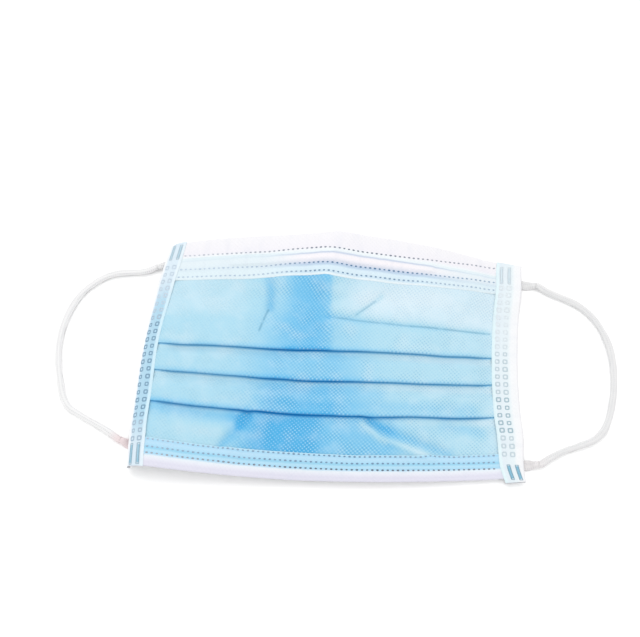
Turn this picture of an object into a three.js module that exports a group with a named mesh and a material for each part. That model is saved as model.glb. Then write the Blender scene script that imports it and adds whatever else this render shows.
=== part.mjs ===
// A three-pleat surgical face mask, lying on a surface with its outer side up.
// Millimetres, +Z up, +X to the right and +Y towards the nose edge.
// Every cloth piece follows one domed mid-surface, with its walls set off along the normals.

import * as THREE from 'three';

// Outline, as the mask lies
const maskWidth = 175.6;
const maskHeight = 113.4;

// Relief of the mid-surface over the edges that touch the surface
const domeRise = 11.5;
const noseRidgeRise = 5.5;
const leftCurlRise = 9;

// Cloth
const clothWall = 1;
const pieceGap = 0.3;
const pleatGap = 0.2;
const pleatDepth = 6.5;
const pressedWall = 0.26;       // one ply-stack layer where a pleat is welded flat
const pressedPitch = 0.37;
const pressRamp = 8;            // length over which a pleat opens beside a tape
const tapeWidth = 12;

// Nose wire
const wireLength = 100;
const wireWidth = 4;
const wireThickness = 1;

// Elastics
const cordDiameter = 3;
const tabLength = 11;
const tabFlatShare = 0.64;      // the share of a tab that is pressed flat
const tabWidth = 4.5;
const tabThickness = 1.2;

// Lines across the mask: shares of the height down from the top, at both sides,
// and the rise of the middle over the straight line between them
const lines = {
  topEdge: { left: 0.050, right: 0.052, arch: 0.051 },
  wire: { left: 0.132, right: 0.104, arch: 0.016 },
  sheetTop: { left: 0.178, right: 0.150, arch: 0.010 },
  topHemEdge: { left: 0.212, right: 0.190, arch: 0.008 },
  pleat1: { left: 0.486, right: 0.460, arch: -0.034 },
  pleat2: { left: 0.595, right: 0.568, arch: -0.049 },
  pleat3: { left: 0.720, right: 0.698, arch: -0.055 },
  bottomHemEdge: { left: 0.876, right: 0.854, arch: -0.045 },
  sheetBottom: { left: 0.929, right: 0.907, arch: -0.039 },
  bottomEdge: { left: 0.982, right: 0.943, arch: -0.038 },
};

// Side outlines: shares of the width from the middle, with the bow of their middles
const sides = {
  left: { top: -0.455, bottom: -0.5, bow: -0.017 },
  right: { top: 0.5, bottom: 0.4995, bow: -0.024 },
};

// Relief across the mask, from the left edge to the right one
const domeAcross = [
  { across: 0, rise: 0 }, { across: 0.06, rise: 0.12 }, { across: 0.15, rise: 0.42 },
  { across: 0.3, rise: 0.8 }, { across: 0.5, rise: 1 }, { across: 0.7, rise: 0.8 },
  { across: 0.86, rise: 0.24 }, { across: 0.935, rise: 0 }, { across: 1, rise: 0 },
];
const domeDown = [
  { down: 0, rise: 1 }, { down: 0.5, rise: 1 }, { down: 0.75, rise: 0.8 },
  { down: 0.9, rise: 0.45 }, { down: 1, rise: 0.14 },
];
const curlAcross = [
  { across: 0, rise: 0 }, { across: 0.004, rise: 0.36 }, { across: 0.011, rise: 0.7 },
  { across: 0.03, rise: 1 }, { across: 0.08, rise: 0.95 }, { across: 0.24, rise: 0.36 },
  { across: 0.42, rise: 0 },
];
const curlDown = [
  { down: 0, rise: 0.45 }, { down: 0.14, rise: 0.75 }, { down: 0.5, rise: 1 },
  { down: 0.85, rise: 0.8 }, { down: 1, rise: 0.5 },
];
const ridgeAcross = [
  { across: 0.29, rise: 0 }, { across: 0.4, rise: 0.45 }, { across: 0.475, rise: 1 },
  { across: 0.56, rise: 0.46 }, { across: 0.7, rise: 0 },
];
const ridgeDown = [
  { down: 0, rise: 0.95 }, { down: 0.16, rise: 1 }, { down: 0.3, rise: 0.4 }, { down: 0.45, rise: 0 },
];
const ridgeCentre = 0.475;
// The corners stand on the flattened ends of the elastics
const cornerLiftDown = [
  { down: 0, rise: 1 }, { down: 0.17, rise: 1 }, { down: 0.29, rise: 0 },
  { down: 0.7, rise: 0 }, { down: 0.84, rise: 1 }, { down: 1, rise: 1 },
];

// Stations across the sheet, closer together at the curl and the nose ridge
const clothStations = [0, 0.004, 0.011, 0.02, 0.03, 0.05, 0.08, 0.13, 0.25, 0.31, 0.37, 0.42,
  0.45, 0.475, 0.5, 0.53, 0.59, 0.65, 0.71, 0.83, 0.88, 0.91, 0.935, 0.965, 1];
const stationSpacing = 0.003;   // least share between a hem's end and its next station
const tapeStations = 22;

// Elastics, as shares of the mask's width and height from its middle: each tab's outer end,
// its heading under the tape in degrees, and the cord's route from tab to tab
const leftLoop = {
  topTab: { x: -0.4875, y: 0.3721, heading: 22 },
  bottomTab: { x: -0.5251, y: -0.3757, heading: -20 },
  route: [
    [-0.508, 0.3563], [-0.5342, 0.3448], [-0.5655, 0.3404], [-0.5991, 0.3316], [-0.6344, 0.3051],
    [-0.664, 0.2663], [-0.6874, 0.2205], [-0.7044, 0.1649], [-0.7153, 0.1023], [-0.7198, 0.0388],
    [-0.7187, -0.0247], [-0.7118, -0.0882], [-0.701, -0.1517], [-0.6885, -0.2116], [-0.6697, -0.254],
    [-0.639, -0.2822], [-0.6014, -0.3104], [-0.5632, -0.3413],
  ],
};
const rightLoop = {
  topTab: { x: 0.5262, y: 0.3677, heading: 176 },
  bottomTab: { x: 0.5194, y: -0.3871, heading: 186 },
  route: [
    [0.5501, 0.351], [0.5797, 0.3289], [0.615, 0.3086], [0.6481, 0.2787], [0.676, 0.2372], [0.6982, 0.1834],
    [0.713, 0.1252], [0.7204, 0.0635], [0.7227, 0], [0.7204, -0.0635], [0.7136, -0.127], [0.7039, -0.1852],
    [0.6891, -0.2381], [0.6629, -0.2787], [0.6241, -0.306], [0.5786, -0.3351], [0.5456, -0.3651],
  ],
};

const legOffset = clothWall + pieceGap;             // mid-surface to the middle of a folded leg
const foldReach = legOffset + clothWall / 2;        // mid-surface to the outer face of a fold
const cornerLift = tabThickness + pieceGap;

const mix = (from, to, share) => from + (to - from) * share;
const clamp = (value) => Math.min(1, Math.max(0, value));
const ease = (share) => share * share * (3 - 2 * share);

// A smooth curve through a short table, which never overshoots its rows
function throughTable(table, column) {
  const slopes = table.slice(1).map((row, i) => (row.rise - table[i].rise) / (row[column] - table[i][column]));
  const tangents = table.map((row, i) => {
    if (i === 0) return slopes[0];
    if (i === table.length - 1) return slopes[i - 1];
    const product = slopes[i - 1] * slopes[i];
    return product > 0 ? (2 * product) / (slopes[i - 1] + slopes[i]) : 0;
  });
  return (at) => {
    if (at <= table[0][column]) return table[0].rise;
    const next = table.findIndex((row) => row[column] >= at);
    if (next < 0) return table[table.length - 1].rise;
    const start = table[next - 1];
    const end = table[next];
    const span = end[column] - start[column];
    const t = (at - start[column]) / span;
    return (2 * t ** 3 - 3 * t ** 2 + 1) * start.rise + (t ** 3 - 2 * t ** 2 + t) * span * tangents[next - 1]
      + (3 * t ** 2 - 2 * t ** 3) * end.rise + (t ** 3 - t ** 2) * span * tangents[next];
  };
}

const relief = {
  dome: { across: throughTable(domeAcross, 'across'), down: throughTable(domeDown, 'down') },
  curl: { across: throughTable(curlAcross, 'across'), down: throughTable(curlDown, 'down') },
  ridge: { across: throughTable(ridgeAcross, 'across'), down: throughTable(ridgeDown, 'down') },
  lift: throughTable(cornerLiftDown, 'down'),
};

// Height along the mask of a named line, at a share across it
function lineAt(line, across) {
  const { left, right, arch } = lines[line];
  const down = mix(left, right, across) - arch * 4 * across * (1 - across);
  return maskHeight * (0.5 - down);
}

function sideAt(side, down) {
  const { top, bottom, bow } = sides[side];
  return maskWidth * (mix(top, bottom, down) + bow * 4 * down * (1 - down));
}

// The mid-surface that all cloth follows
function surfacePoint(across, y) {
  const top = lineAt('topEdge', across);
  const down = (top - y) / (top - lineAt('bottomEdge', across));
  const left = sideAt('left', down) + foldReach;
  const right = sideAt('right', down) - foldReach;
  const height = foldReach + cornerLift * relief.lift(down)
    + domeRise * relief.dome.across(across) * relief.dome.down(down)
    + leftCurlRise * relief.curl.across(across) * relief.curl.down(down)
    + noseRidgeRise * relief.ridge.across(across) * relief.ridge.down(down);
  return new THREE.Vector3(mix(left, right, across), y, height);
}

// The surface's directions at a point: along x, along y and its normal
function surfaceFrame(across, y) {
  const stepAcross = 0.0015;
  const stepAlong = 0.25;
  const from = Math.max(0, across - stepAcross);
  const to = Math.min(1, across + stepAcross);
  const sideways = surfacePoint(to, y).sub(surfacePoint(from, y)).normalize();
  const along = surfacePoint(across, y + stepAlong).sub(surfacePoint(across, y - stepAlong)).normalize();
  const normal = sideways.clone().cross(along).normalize();
  return { point: surfacePoint(across, y), sideways, along, normal };
}

const offset = (point, ...steps) => steps.reduce((sum, [direction, length]) => sum.addScaledVector(direction, length),
  point.clone());

// A closed wall between two faces, each a list of stations that holds a list of points
function wallSolid(front, back) {
  const rows = front.length;
  const columns = front[0].length;
  const positions = [...front.flat(), ...back.flat()].flatMap((point) => point.toArray());
  const index = [];
  const frontAt = (row, column) => row * columns + column;
  const backAt = (row, column) => rows * columns + row * columns + column;
  const quad = (a, b, c, d) => index.push(a, b, c, a, c, d);
  for (let row = 0; row < rows - 1; row += 1) {
    for (let column = 0; column < columns - 1; column += 1) {
      quad(frontAt(row, column), frontAt(row + 1, column), frontAt(row + 1, column + 1), frontAt(row, column + 1));
      quad(backAt(row, column), backAt(row, column + 1), backAt(row + 1, column + 1), backAt(row + 1, column));
    }
    quad(frontAt(row, 0), backAt(row, 0), backAt(row + 1, 0), frontAt(row + 1, 0));
    const last = columns - 1;
    quad(frontAt(row, last), frontAt(row + 1, last), backAt(row + 1, last), backAt(row, last));
  }
  for (let column = 0; column < columns - 1; column += 1) {
    const last = rows - 1;
    quad(frontAt(0, column), frontAt(0, column + 1), backAt(0, column + 1), backAt(0, column));
    quad(frontAt(last, column), backAt(last, column), backAt(last, column + 1), frontAt(last, column + 1));
  }
  const geometry = new THREE.BufferGeometry();
  geometry.setAttribute('position', new THREE.Float32BufferAttribute(positions, 3));
  geometry.setIndex(volumeOf(positions, index) > 0 ? index : index.toReversed());
  geometry.computeVertexNormals();
  return geometry;
}

function volumeOf(positions, index) {
  const corner = (i) => new THREE.Vector3().fromArray(positions, index[i] * 3);
  let volume = 0;
  for (let i = 0; i < index.length; i += 3) {
    volume += corner(i).dot(corner(i + 1).cross(corner(i + 2))) / 6;
  }
  return volume;
}

// Distance over the cloth from a side's fold, and the share across that lies at a distance
function clothDistance(side, across, y) {
  const pieces = 24;
  const from = side === 'left' ? 0 : 1;
  let length = 0;
  for (let i = 0; i < pieces; i += 1) {
    const start = surfacePoint(mix(from, across, i / pieces), y);
    length += start.distanceTo(surfacePoint(mix(from, across, (i + 1) / pieces), y));
  }
  return length;
}

function acrossAtDistance(side, distance, y) {
  const from = side === 'left' ? 0 : 1;
  let near = 0;
  let far = 0.3;
  for (let i = 0; i < 30; i += 1) {
    const middle = (near + far) / 2;
    if (clothDistance(side, Math.abs(from - middle), y) < distance) near = middle;
    else far = middle;
  }
  return Math.abs(from - near);
}

// The wire's ends are stations of the cloth too, so that the cloth bends where the wire does
const wireEnds = [-0.5, 0.5].map((share) => ridgeCentre + (share * wireLength) / maskWidth);
const stations = [...clothStations, ...wireEnds].sort((a, b) => a - b);

const tapeReach = tapeWidth - foldReach;            // cloth from the fold's centre to the tape's inner edge

// Share to which the pleats are pressed flat: 1 under the tapes, 0 in the open
function pressedAt(across) {
  const y = lineAt('pleat2', across);
  const side = across < 0.5 ? 'left' : 'right';
  const beyond = clothDistance(side, across, y) - tapeReach - pieceGap;
  return 1 - ease(clamp(beyond / pressRamp));
}

// Section of the pleated sheet at one station: places down the sheet, each with its level
// over the mid-surface and the direction that its outer face looks in
function sheetSection(across) {
  const pressed = pressedAt(across);
  const pitch = mix(clothWall + pleatGap, pressedPitch, pressed);
  const radius = pitch / 2;
  const section = [];
  const wallAt = (share) => mix(clothWall, mix(clothWall, pressedWall, Math.abs(share)), pressed);
  const flat = (y, share) => section.push({ y, level: share * pitch, along: 0, up: 1, wall: wallAt(share) });
  const bend = (y, level, facing) => {
    const turns = 3;
    for (let i = 0; i <= turns; i += 1) {
      const angle = facing * Math.PI * (0.5 + i / turns);
      const [along, up] = [Math.cos(angle), Math.sin(angle)];
      section.push({ y: y + facing * along * radius, level: level + facing * up * radius, along, up, wall: wallAt(1) });
    }
  };
  const panel = (startY, startShare, endY, endShare, pieces) => {
    for (let i = 0; i <= pieces; i += 1) {
      flat(mix(startY, endY, i / pieces), mix(startShare, endShare, ease(i / pieces)));
    }
  };
  let startY = lineAt('sheetTop', across);
  let startShare = 0;
  let pieces = 6;
  for (const pleat of ['pleat1', 'pleat2', 'pleat3']) {
    const lip = lineAt(pleat, across);
    const foldTop = lip + pleatDepth;
    panel(startY, startShare, foldTop + pitch / 2, 1, pieces);
    bend(lip + radius + wallAt(1) / 2, radius, 1);
    bend(foldTop - radius, -radius, -1);
    startY = lip - pitch / 2;
    startShare = -1;
    pieces = 3;
  }
  panel(startY, startShare, lineAt('sheetBottom', across), 0, 4);
  return section;
}

function pleatedBody() {
  const front = [];
  const back = [];
  for (const across of stations) {
    const faces = sheetSection(across).map(({ y, level, along, up, wall }) => {
      const frame = surfaceFrame(across, y);
      const middle = offset(frame.point, [frame.normal, level]);
      const reach = (share) => offset(middle, [frame.along, along * wall * share], [frame.normal, up * wall * share]);
      return [reach(0.5), reach(-0.5)];
    });
    front.push(faces.map(([outer]) => outer));
    back.push(faces.map(([, inner]) => inner));
  }
  return wallSolid(front, back);
}

// One station of a strip folded over an edge: frames from its free edge to the fold,
// and the direction in which the fold looks
function foldedStation(frames, outward) {
  const outer = [];
  const inner = [];
  const add = (point, direction) => {
    outer.push(offset(point, [direction, foldReach]));
    inner.push(offset(point, [direction, foldReach - clothWall]));
  };
  const edge = frames[frames.length - 1];
  const turns = 4;
  frames.slice(0, -1).forEach(({ point, normal }) => add(point, normal));
  for (let i = 0; i <= turns; i += 1) {
    const angle = Math.PI * (0.5 - i / turns);
    const direction = edge.normal.clone().multiplyScalar(Math.sin(angle))
      .addScaledVector(outward(edge), Math.cos(angle));
    add(edge.point, direction);
  }
  frames.slice(0, -1).reverse().forEach(({ point, normal }) => add(point, normal.clone().negate()));
  return [outer, inner];
}

function hem(freeEdge, foldEdge, outwardSign) {
  const pieces = 3;
  const startAt = (y) => acrossAtDistance('left', tapeReach + pieceGap, y);
  const endAt = (y) => acrossAtDistance('right', tapeReach + pieceGap, y);
  const corners = [lineAt(freeEdge, 0), lineAt(foldEdge, 0)];
  const start = Math.max(...corners.map(startAt));
  const end = Math.min(...corners.map(endAt));
  const inside = stations.filter((across) => across > start + stationSpacing && across < end - stationSpacing);
  const faces = [startAt, ...inside.map((across) => () => across), endAt].map((acrossAt) => {
    const near = acrossAt(corners[0]);
    const foldY = lineAt(foldEdge, near) - outwardSign * foldReach;
    const frames = Array.from({ length: pieces + 1 }, (unused, i) => {
      const y = mix(lineAt(freeEdge, near), foldY, i / pieces);
      return surfaceFrame(acrossAt(y), y);
    });
    return foldedStation(frames, (edge) => edge.along.clone().multiplyScalar(outwardSign));
  });
  return wallSolid(faces.map(([outer]) => outer), faces.map(([, inner]) => inner));
}

function sideTape(side) {
  const pieces = side === 'left' ? 6 : 3;
  const edge = side === 'left' ? 0 : 1;
  const outwardSign = side === 'left' ? -1 : 1;
  const faces = Array.from({ length: tapeStations + 1 }, (unused, i) => {
    const yAt = (across) => mix(lineAt('topEdge', across), lineAt('bottomEdge', across), i / tapeStations);
    const innerEdge = acrossAtDistance(side, tapeReach, yAt(edge));
    const frames = Array.from({ length: pieces + 1 }, (none, j) => {
      const across = mix(innerEdge, edge, j / pieces);
      return surfaceFrame(across, yAt(across));
    });
    return foldedStation(frames, ({ sideways }) => sideways.clone().multiplyScalar(outwardSign));
  });
  return wallSolid(faces.map(([outer]) => outer), faces.map(([, inner]) => inner));
}

function noseWire() {
  const spanned = stations.filter((across) => across >= wireEnds[0] && across <= wireEnds[1]);
  const faces = spanned.map((across) => [-0.5, 0.5].map((share) => {
    const { point, normal } = surfaceFrame(across, lineAt('wire', across) + share * wireWidth);
    return [offset(point, [normal, wireThickness / 2]), offset(point, [normal, -wireThickness / 2])];
  }));
  return wallSolid(faces.map((row) => row.map(([outer]) => outer)), faces.map((row) => row.map(([, inner]) => inner)));
}

// Place of a row of an elastic's table, at the height of the middle of what lies there
const placeOf = ([x, y], height) => new THREE.Vector3(x * maskWidth, y * maskHeight, height);

// A flattened cord end: flat under the tape, swelling to the round cord outside it
function loopTab({ x, y, heading }) {
  const angle = THREE.MathUtils.degToRad(heading);
  const inward = new THREE.Vector3(Math.cos(angle), Math.sin(angle), 0);
  const aside = new THREE.Vector3(-inward.y, inward.x, 0);
  const rings = [
    { along: 1, width: tabWidth, thickness: tabThickness },
    { along: 1 - tabFlatShare, width: tabWidth, thickness: tabThickness },
    { along: 0, width: cordDiameter, thickness: cordDiameter },
  ];
  const faces = rings.map(({ along, width, thickness }) => {
    const middle = placeOf([x, y], thickness / 2).addScaledVector(inward, along * tabLength);
    const columns = [
      { aside: -0.5, up: 0.2 }, { aside: -0.3, up: 0.5 }, { aside: 0.3, up: 0.5 }, { aside: 0.5, up: 0.2 },
    ];
    const face = (sign) => columns.map((column) => (
      offset(middle, [aside, column.aside * width]).setZ(middle.z + sign * column.up * thickness)));
    return [face(1), face(-1)];
  });
  return wallSolid(faces.map(([top]) => top), faces.map(([, bottom]) => bottom));
}

function earLoop({ topTab, bottomTab, route }) {
  const height = cordDiameter / 2;
  // The cord leaves each tab straight
  const outOf = ({ x, y, heading }, distance) => {
    const angle = THREE.MathUtils.degToRad(heading);
    return placeOf([x, y], height).sub(new THREE.Vector3(Math.cos(angle), Math.sin(angle), 0).multiplyScalar(distance));
  };
  const path = new THREE.CatmullRomCurve3([
    outOf(topTab, pieceGap), outOf(topTab, height),
    ...route.map((row) => placeOf(row, height)),
    outOf(bottomTab, height), outOf(bottomTab, pieceGap),
  ], false, 'centripetal');
  const cordSides = 8;
  const section = new THREE.Shape(Array.from({ length: cordSides }, (unused, i) => {
    const angle = (2 * Math.PI * (i + 0.5)) / cordSides;
    const corner = cordDiameter / 2 / Math.cos(Math.PI / cordSides);
    return new THREE.Vector2(corner * Math.cos(angle), corner * Math.sin(angle));
  }));
  const steps = Math.round(path.getLength() / (2 * cordDiameter));
  return new THREE.ExtrudeGeometry(section, { steps, extrudePath: path, bevelEnabled: false });
}

function cloth(color, roughness = 0.9) {
  return new THREE.MeshStandardMaterial({ color, roughness, metalness: 0, side: THREE.DoubleSide });
}

function named(name, geometry, material) {
  const mesh = new THREE.Mesh(geometry, material);
  mesh.name = name;
  return mesh;
}

const blueCloth = cloth(0xa6d8ee);
const whiteCloth = cloth(0xf2f5fa);
const elasticFinish = cloth(0xf4f3f2, 0.8);
const wireFinish = new THREE.MeshStandardMaterial({ color: 0xeff2f4, roughness: 0.5, metalness: 0.1 });

const fixedPieces = [
  named('pleated_body', pleatedBody(), blueCloth),
  named('top_hem', hem('topHemEdge', 'topEdge', 1), whiteCloth),
  named('bottom_hem', hem('bottomHemEdge', 'bottomEdge', -1), whiteCloth),
  named('nose_wire', noseWire(), wireFinish),
  named('side_tape_left', sideTape('left'), whiteCloth),
  named('side_tape_right', sideTape('right'), whiteCloth),
  named('loop_tab_left_top', loopTab(leftLoop.topTab), elasticFinish),
  named('loop_tab_left_bottom', loopTab(leftLoop.bottomTab), elasticFinish),
  named('loop_tab_right_top', loopTab(rightLoop.topTab), elasticFinish),
  named('loop_tab_right_bottom', loopTab(rightLoop.bottomTab), elasticFinish),
];
const looseCords = [
  named('ear_loop_left', earLoop(leftLoop), elasticFinish),
  named('ear_loop_right', earLoop(rightLoop), elasticFinish),
];

// The origin is under the middle of the mask, on the surface that it lies on
const bounds = new THREE.Box3();
fixedPieces.forEach((piece) => bounds.expandByObject(piece));
const mask = new THREE.Group();
mask.add(...fixedPieces, ...looseCords);
mask.position.set(-(bounds.min.x + bounds.max.x) / 2, -(bounds.min.y + bounds.max.y) / 2, -bounds.min.z);

export default mask;
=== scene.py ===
import bpy
import math
import numpy as np
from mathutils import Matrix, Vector


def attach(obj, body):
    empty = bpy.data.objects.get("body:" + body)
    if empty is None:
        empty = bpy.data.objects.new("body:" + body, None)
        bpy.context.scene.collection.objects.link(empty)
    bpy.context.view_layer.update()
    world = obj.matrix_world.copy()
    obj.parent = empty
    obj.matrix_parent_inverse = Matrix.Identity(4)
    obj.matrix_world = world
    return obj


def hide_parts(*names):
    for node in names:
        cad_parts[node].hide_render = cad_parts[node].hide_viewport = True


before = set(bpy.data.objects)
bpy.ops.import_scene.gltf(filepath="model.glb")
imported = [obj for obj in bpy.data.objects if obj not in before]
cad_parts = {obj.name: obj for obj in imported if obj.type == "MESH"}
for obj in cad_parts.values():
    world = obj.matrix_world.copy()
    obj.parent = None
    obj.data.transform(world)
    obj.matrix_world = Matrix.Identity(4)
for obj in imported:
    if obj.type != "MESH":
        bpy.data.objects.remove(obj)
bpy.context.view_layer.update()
mm = 0.001
frameShift = np.array([0.104, 0.139, 0.0])   # in millimetres: the frame is centred on the finished outline

# Angle, distance and focal length fitted to the four corners of the mask
cameraView = {"elevation": 68.0, "azimuth": 3.0, "distance": 456.0, "target": (-7.5, 20.7, 0.0), "lens": 55.1,
              "sensor": 36.0, "clip": 0.01}


def addCamera():
    elevation, azimuth = math.radians(cameraView["elevation"]), math.radians(cameraView["azimuth"])
    back = Vector((math.sin(azimuth) * math.cos(elevation), -math.cos(azimuth) * math.cos(elevation),
                   math.sin(elevation)))
    data = bpy.data.cameras.new("camera")
    data.lens, data.sensor_width, data.clip_start = (cameraView[key] for key in ("lens", "sensor", "clip"))
    camera = bpy.data.objects.new("camera", data)
    camera.location = (Vector(cameraView["target"]) + back * cameraView["distance"]) * mm
    camera.rotation_euler = (-back).to_track_quat("-Z", "Y").to_euler()
    bpy.context.scene.collection.objects.link(camera)
    bpy.context.scene.camera = camera


addCamera()


# Nodes: a wrapped socket with the operators that the materials use, and one method for every node

class Number:
    def __init__(self, maker, socket):
        self.maker, self.socket = maker, socket

    def maths(self, operation, *values):
        return self.maker.number("ShaderNodeMath", {"operation": operation}, *values)

    def __add__(self, other):
        return self.maths("ADD", self, other)

    def __sub__(self, other):
        return self.maths("SUBTRACT", self, other)

    def __rsub__(self, other):
        return self.maths("SUBTRACT", other, self)

    def __mul__(self, other):
        return self.maths("MULTIPLY", self, other)

    def __truediv__(self, other):
        return self.maths("DIVIDE", self, other)

    def scaled(self, slope, start):
        return self * slope + start

    def sine(self):
        return self.maths("SINE", self)

    def root(self):
        return self.maths("SQRT", self)

    def clamped(self):
        return self.maths("MINIMUM", self.maths("MAXIMUM", self, 0.0), 1.0)

    def between(self, low, high):
        return self.maker.number("ShaderNodeMapRange", {"interpolation_type": "SMOOTHSTEP"}, self, low, high)


class NodeMaker:
    # A node of a type, with its settings, then the values or links of its sockets
    def node(self, kind, settings=None, *values, **named):
        node = self.tree.nodes.new(kind)
        for key, value in (settings or {}).items():
            if key == "stops":
                self.setStops(node.color_ramp, value)
            else:
                setattr(node, key, value)
        for place, value in [*enumerate(values), *named.items()]:
            self.put(node.inputs[place.replace("_", " ") if isinstance(place, str) else place], value)
        return node

    def number(self, kind, settings=None, *values, **named):
        return Number(self, self.node(kind, settings, *values, **named).outputs[0])

    def put(self, socket, value):
        if isinstance(value, Number):
            value = value.socket
        if isinstance(value, bpy.types.Node):
            value = value.outputs[0]
        if isinstance(value, bpy.types.NodeSocket):
            self.tree.links.new(value, socket)
        else:
            socket.default_value = value

    def setStops(self, ramp, stops):
        while len(ramp.elements) < len(stops):
            ramp.elements.new(0.5)
        for element, (place, colour) in zip(ramp.elements, stops):
            element.position, element.color = place, colour


class Shader(NodeMaker):
    def __init__(self, name):
        self.material = bpy.data.materials.new(name)
        self.material.use_nodes = True
        self.tree = self.material.node_tree
        self.surface = self.tree.nodes["Principled BSDF"]

    def set(self, **values):
        for name, value in values.items():
            self.put(self.surface.inputs[name.replace("_", " ")], value)

    def blend(self, factor, first, second):
        node = self.node("ShaderNodeMix", {"data_type": "RGBA"})
        for place, value in ((0, factor), (6, first), (7, second)):
            self.put(node.inputs[place], value)
        return node.outputs[2]

    def ramp(self, factor, stops):
        return self.node("ShaderNodeValToRGB", {"stops": stops}, factor).outputs[0]

    def uv(self):
        place = self.node("ShaderNodeUVMap", {"uv_map": "UVMap"})
        return self.along(place, 0), self.along(place, 1)

    def place(self, scale=(1.0, 1.0, 1.0)):
        coordinates = self.node("ShaderNodeTexCoord").outputs["Object"]
        return self.node("ShaderNodeMapping", None, coordinates, Scale=scale)

    def along(self, vector, axis):
        return Number(self, self.node("ShaderNodeSeparateXYZ", None, vector).outputs[axis])

    # 1 on the straight line between two points in millimetres, falling to 0 at a distance from it
    def onLine(self, vector, start, end, reach):
        x, y = (self.along(vector, axis) * (1 / mm) - start[axis] for axis in (0, 1))
        runX, runY = end[0] - start[0], end[1] - start[1]
        share = ((x * runX + y * runY) / (runX**2 + runY**2)).clamped()
        awayX, awayY = x - share * runX, y - share * runY
        return 1 - (awayX * awayX + awayY * awayY).root().between(0.0, reach)

    def noise(self, vector, size, detail=2.0):      # size of its blobs in millimetres
        return self.number("ShaderNodeTexNoise", None, vector, Scale=1 / (size * mm), Detail=detail)

    def attribute(self, name):
        return Number(self, self.node("ShaderNodeAttribute", {"attribute_name": name}).outputs["Fac"])

    def bump(self, height, distance):
        self.set(Normal=self.node("ShaderNodeBump", None, Height=height, Distance=distance * mm))


class GeometryTree(NodeMaker):
    def __init__(self, name, inputs):
        self.tree = bpy.data.node_groups.new(name, "GeometryNodeTree")
        sockets = self.tree.interface
        sockets.new_socket(name="Geometry", in_out="INPUT", socket_type="NodeSocketGeometry")
        for label, kind in inputs.items():
            sockets.new_socket(name=label, in_out="INPUT", socket_type=kind)
        sockets.new_socket(name="Geometry", in_out="OUTPUT", socket_type="NodeSocketGeometry")
        self.entry = self.tree.nodes.new("NodeGroupInput").outputs
        self.exit = self.tree.nodes.new("NodeGroupOutput")

    def size(self, label):
        return Number(self, self.entry[label])

    def close(self, geometry):
        realized = self.node("GeometryNodeRealizeInstances", None, geometry)
        self.put(self.exit.inputs[0], self.node("GeometryNodeSetMaterial", None, realized,
                                                Material=self.entry["Material"]))


# Runs a tree on an object of lines and leaves the result as a plain mesh
def growMesh(name, lines, maker, values):
    modifier = lines.modifiers.new("grow", "NODES")
    modifier.node_group = maker.tree
    labels = {item.name: item.identifier for item in maker.tree.interface.items_tree if item.in_out == "INPUT"}
    for label, value in values.items():
        modifier[labels[label]] = value
    graph = bpy.context.evaluated_depsgraph_get()
    mesh = bpy.data.meshes.new_from_object(lines.evaluated_get(graph), preserve_all_data_layers=True,
                                           depsgraph=graph)
    lines.modifiers.remove(modifier)
    bpy.data.objects.remove(lines)
    mesh.name = name
    mesh.polygons.foreach_set("use_smooth", [True] * len(mesh.polygons))
    thing = bpy.data.objects.new(name, mesh)
    bpy.context.scene.collection.objects.link(thing)
    return thing


# The mid-surface that all the cloth follows, in millimetres, as the solids have it

form = {
    "width": 175.6, "height": 113.4, "domeRise": 11.5, "noseRidgeRise": 5.5, "leftCurlRise": 9.0,
    "cornerLift": 1.5, "tapeWidth": 12.0, "pleatDepth": 6.5, "pressRamp": 8.0, "floorGap": 0.1,
}

# Lines across the mask: shares of the height down from the top at the left and the right,
# and the rise of the middle over the straight line between them
maskLines = {
    "topEdge": (0.050, 0.052, 0.051), "weldTop1": (0.104, 0.0785, 0.0176), "wire": (0.138, 0.112, 0.015),
    "weldTop2": (0.165, 0.141, 0.0123), "sheetTop": (0.178, 0.152, 0.010), "weldTop3": (0.200, 0.174, 0.011),
    "topHemEdge": (0.212, 0.190, 0.008),
    "pleat1": (0.483, 0.450, -0.0305), "pleat2": (0.5895, 0.5585, -0.047), "pleat3": (0.717, 0.692, -0.0515),
    "bottomHemEdge": (0.867, 0.8445, -0.046), "weldBottom1": (0.874, 0.8505, -0.045),
    "weldBottom2": (0.9048, 0.878, -0.0406), "sheetBottom": (0.925, 0.900, -0.039),
    "weldBottom3": (0.9295, 0.9035, -0.0388), "bottomEdge": (0.982, 0.943, -0.038),
}
# How far the seams of the top hem stray upwards, in millimetres, at places across
topSeams = ("weldTop1", "wire", "weldTop2", "sheetTop", "weldTop3", "topHemEdge")
seamSway = [(0, -0.5), (0.12, -0.7), (0.27, -0.4), (0.4, 0.6), (0.52, -0.7), (0.64, -0.9), (0.76, -0.4),
            (0.88, 0.8), (1, 1.0)]
# Shares of the width from the middle: top, bottom, bow and skew
sideLines = {"left": (-0.4582, -0.502, -0.0229, -0.0032), "right": (0.5, 0.4995, -0.024, 0.0)}
# How far the top and the bottom corner turn in, in millimetres, and over which shares of the side
cornerTurn = {"left": (0.0, 0.0), "right": (1.4, 2.3), "over": (0.14, 0.22)}

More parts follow.
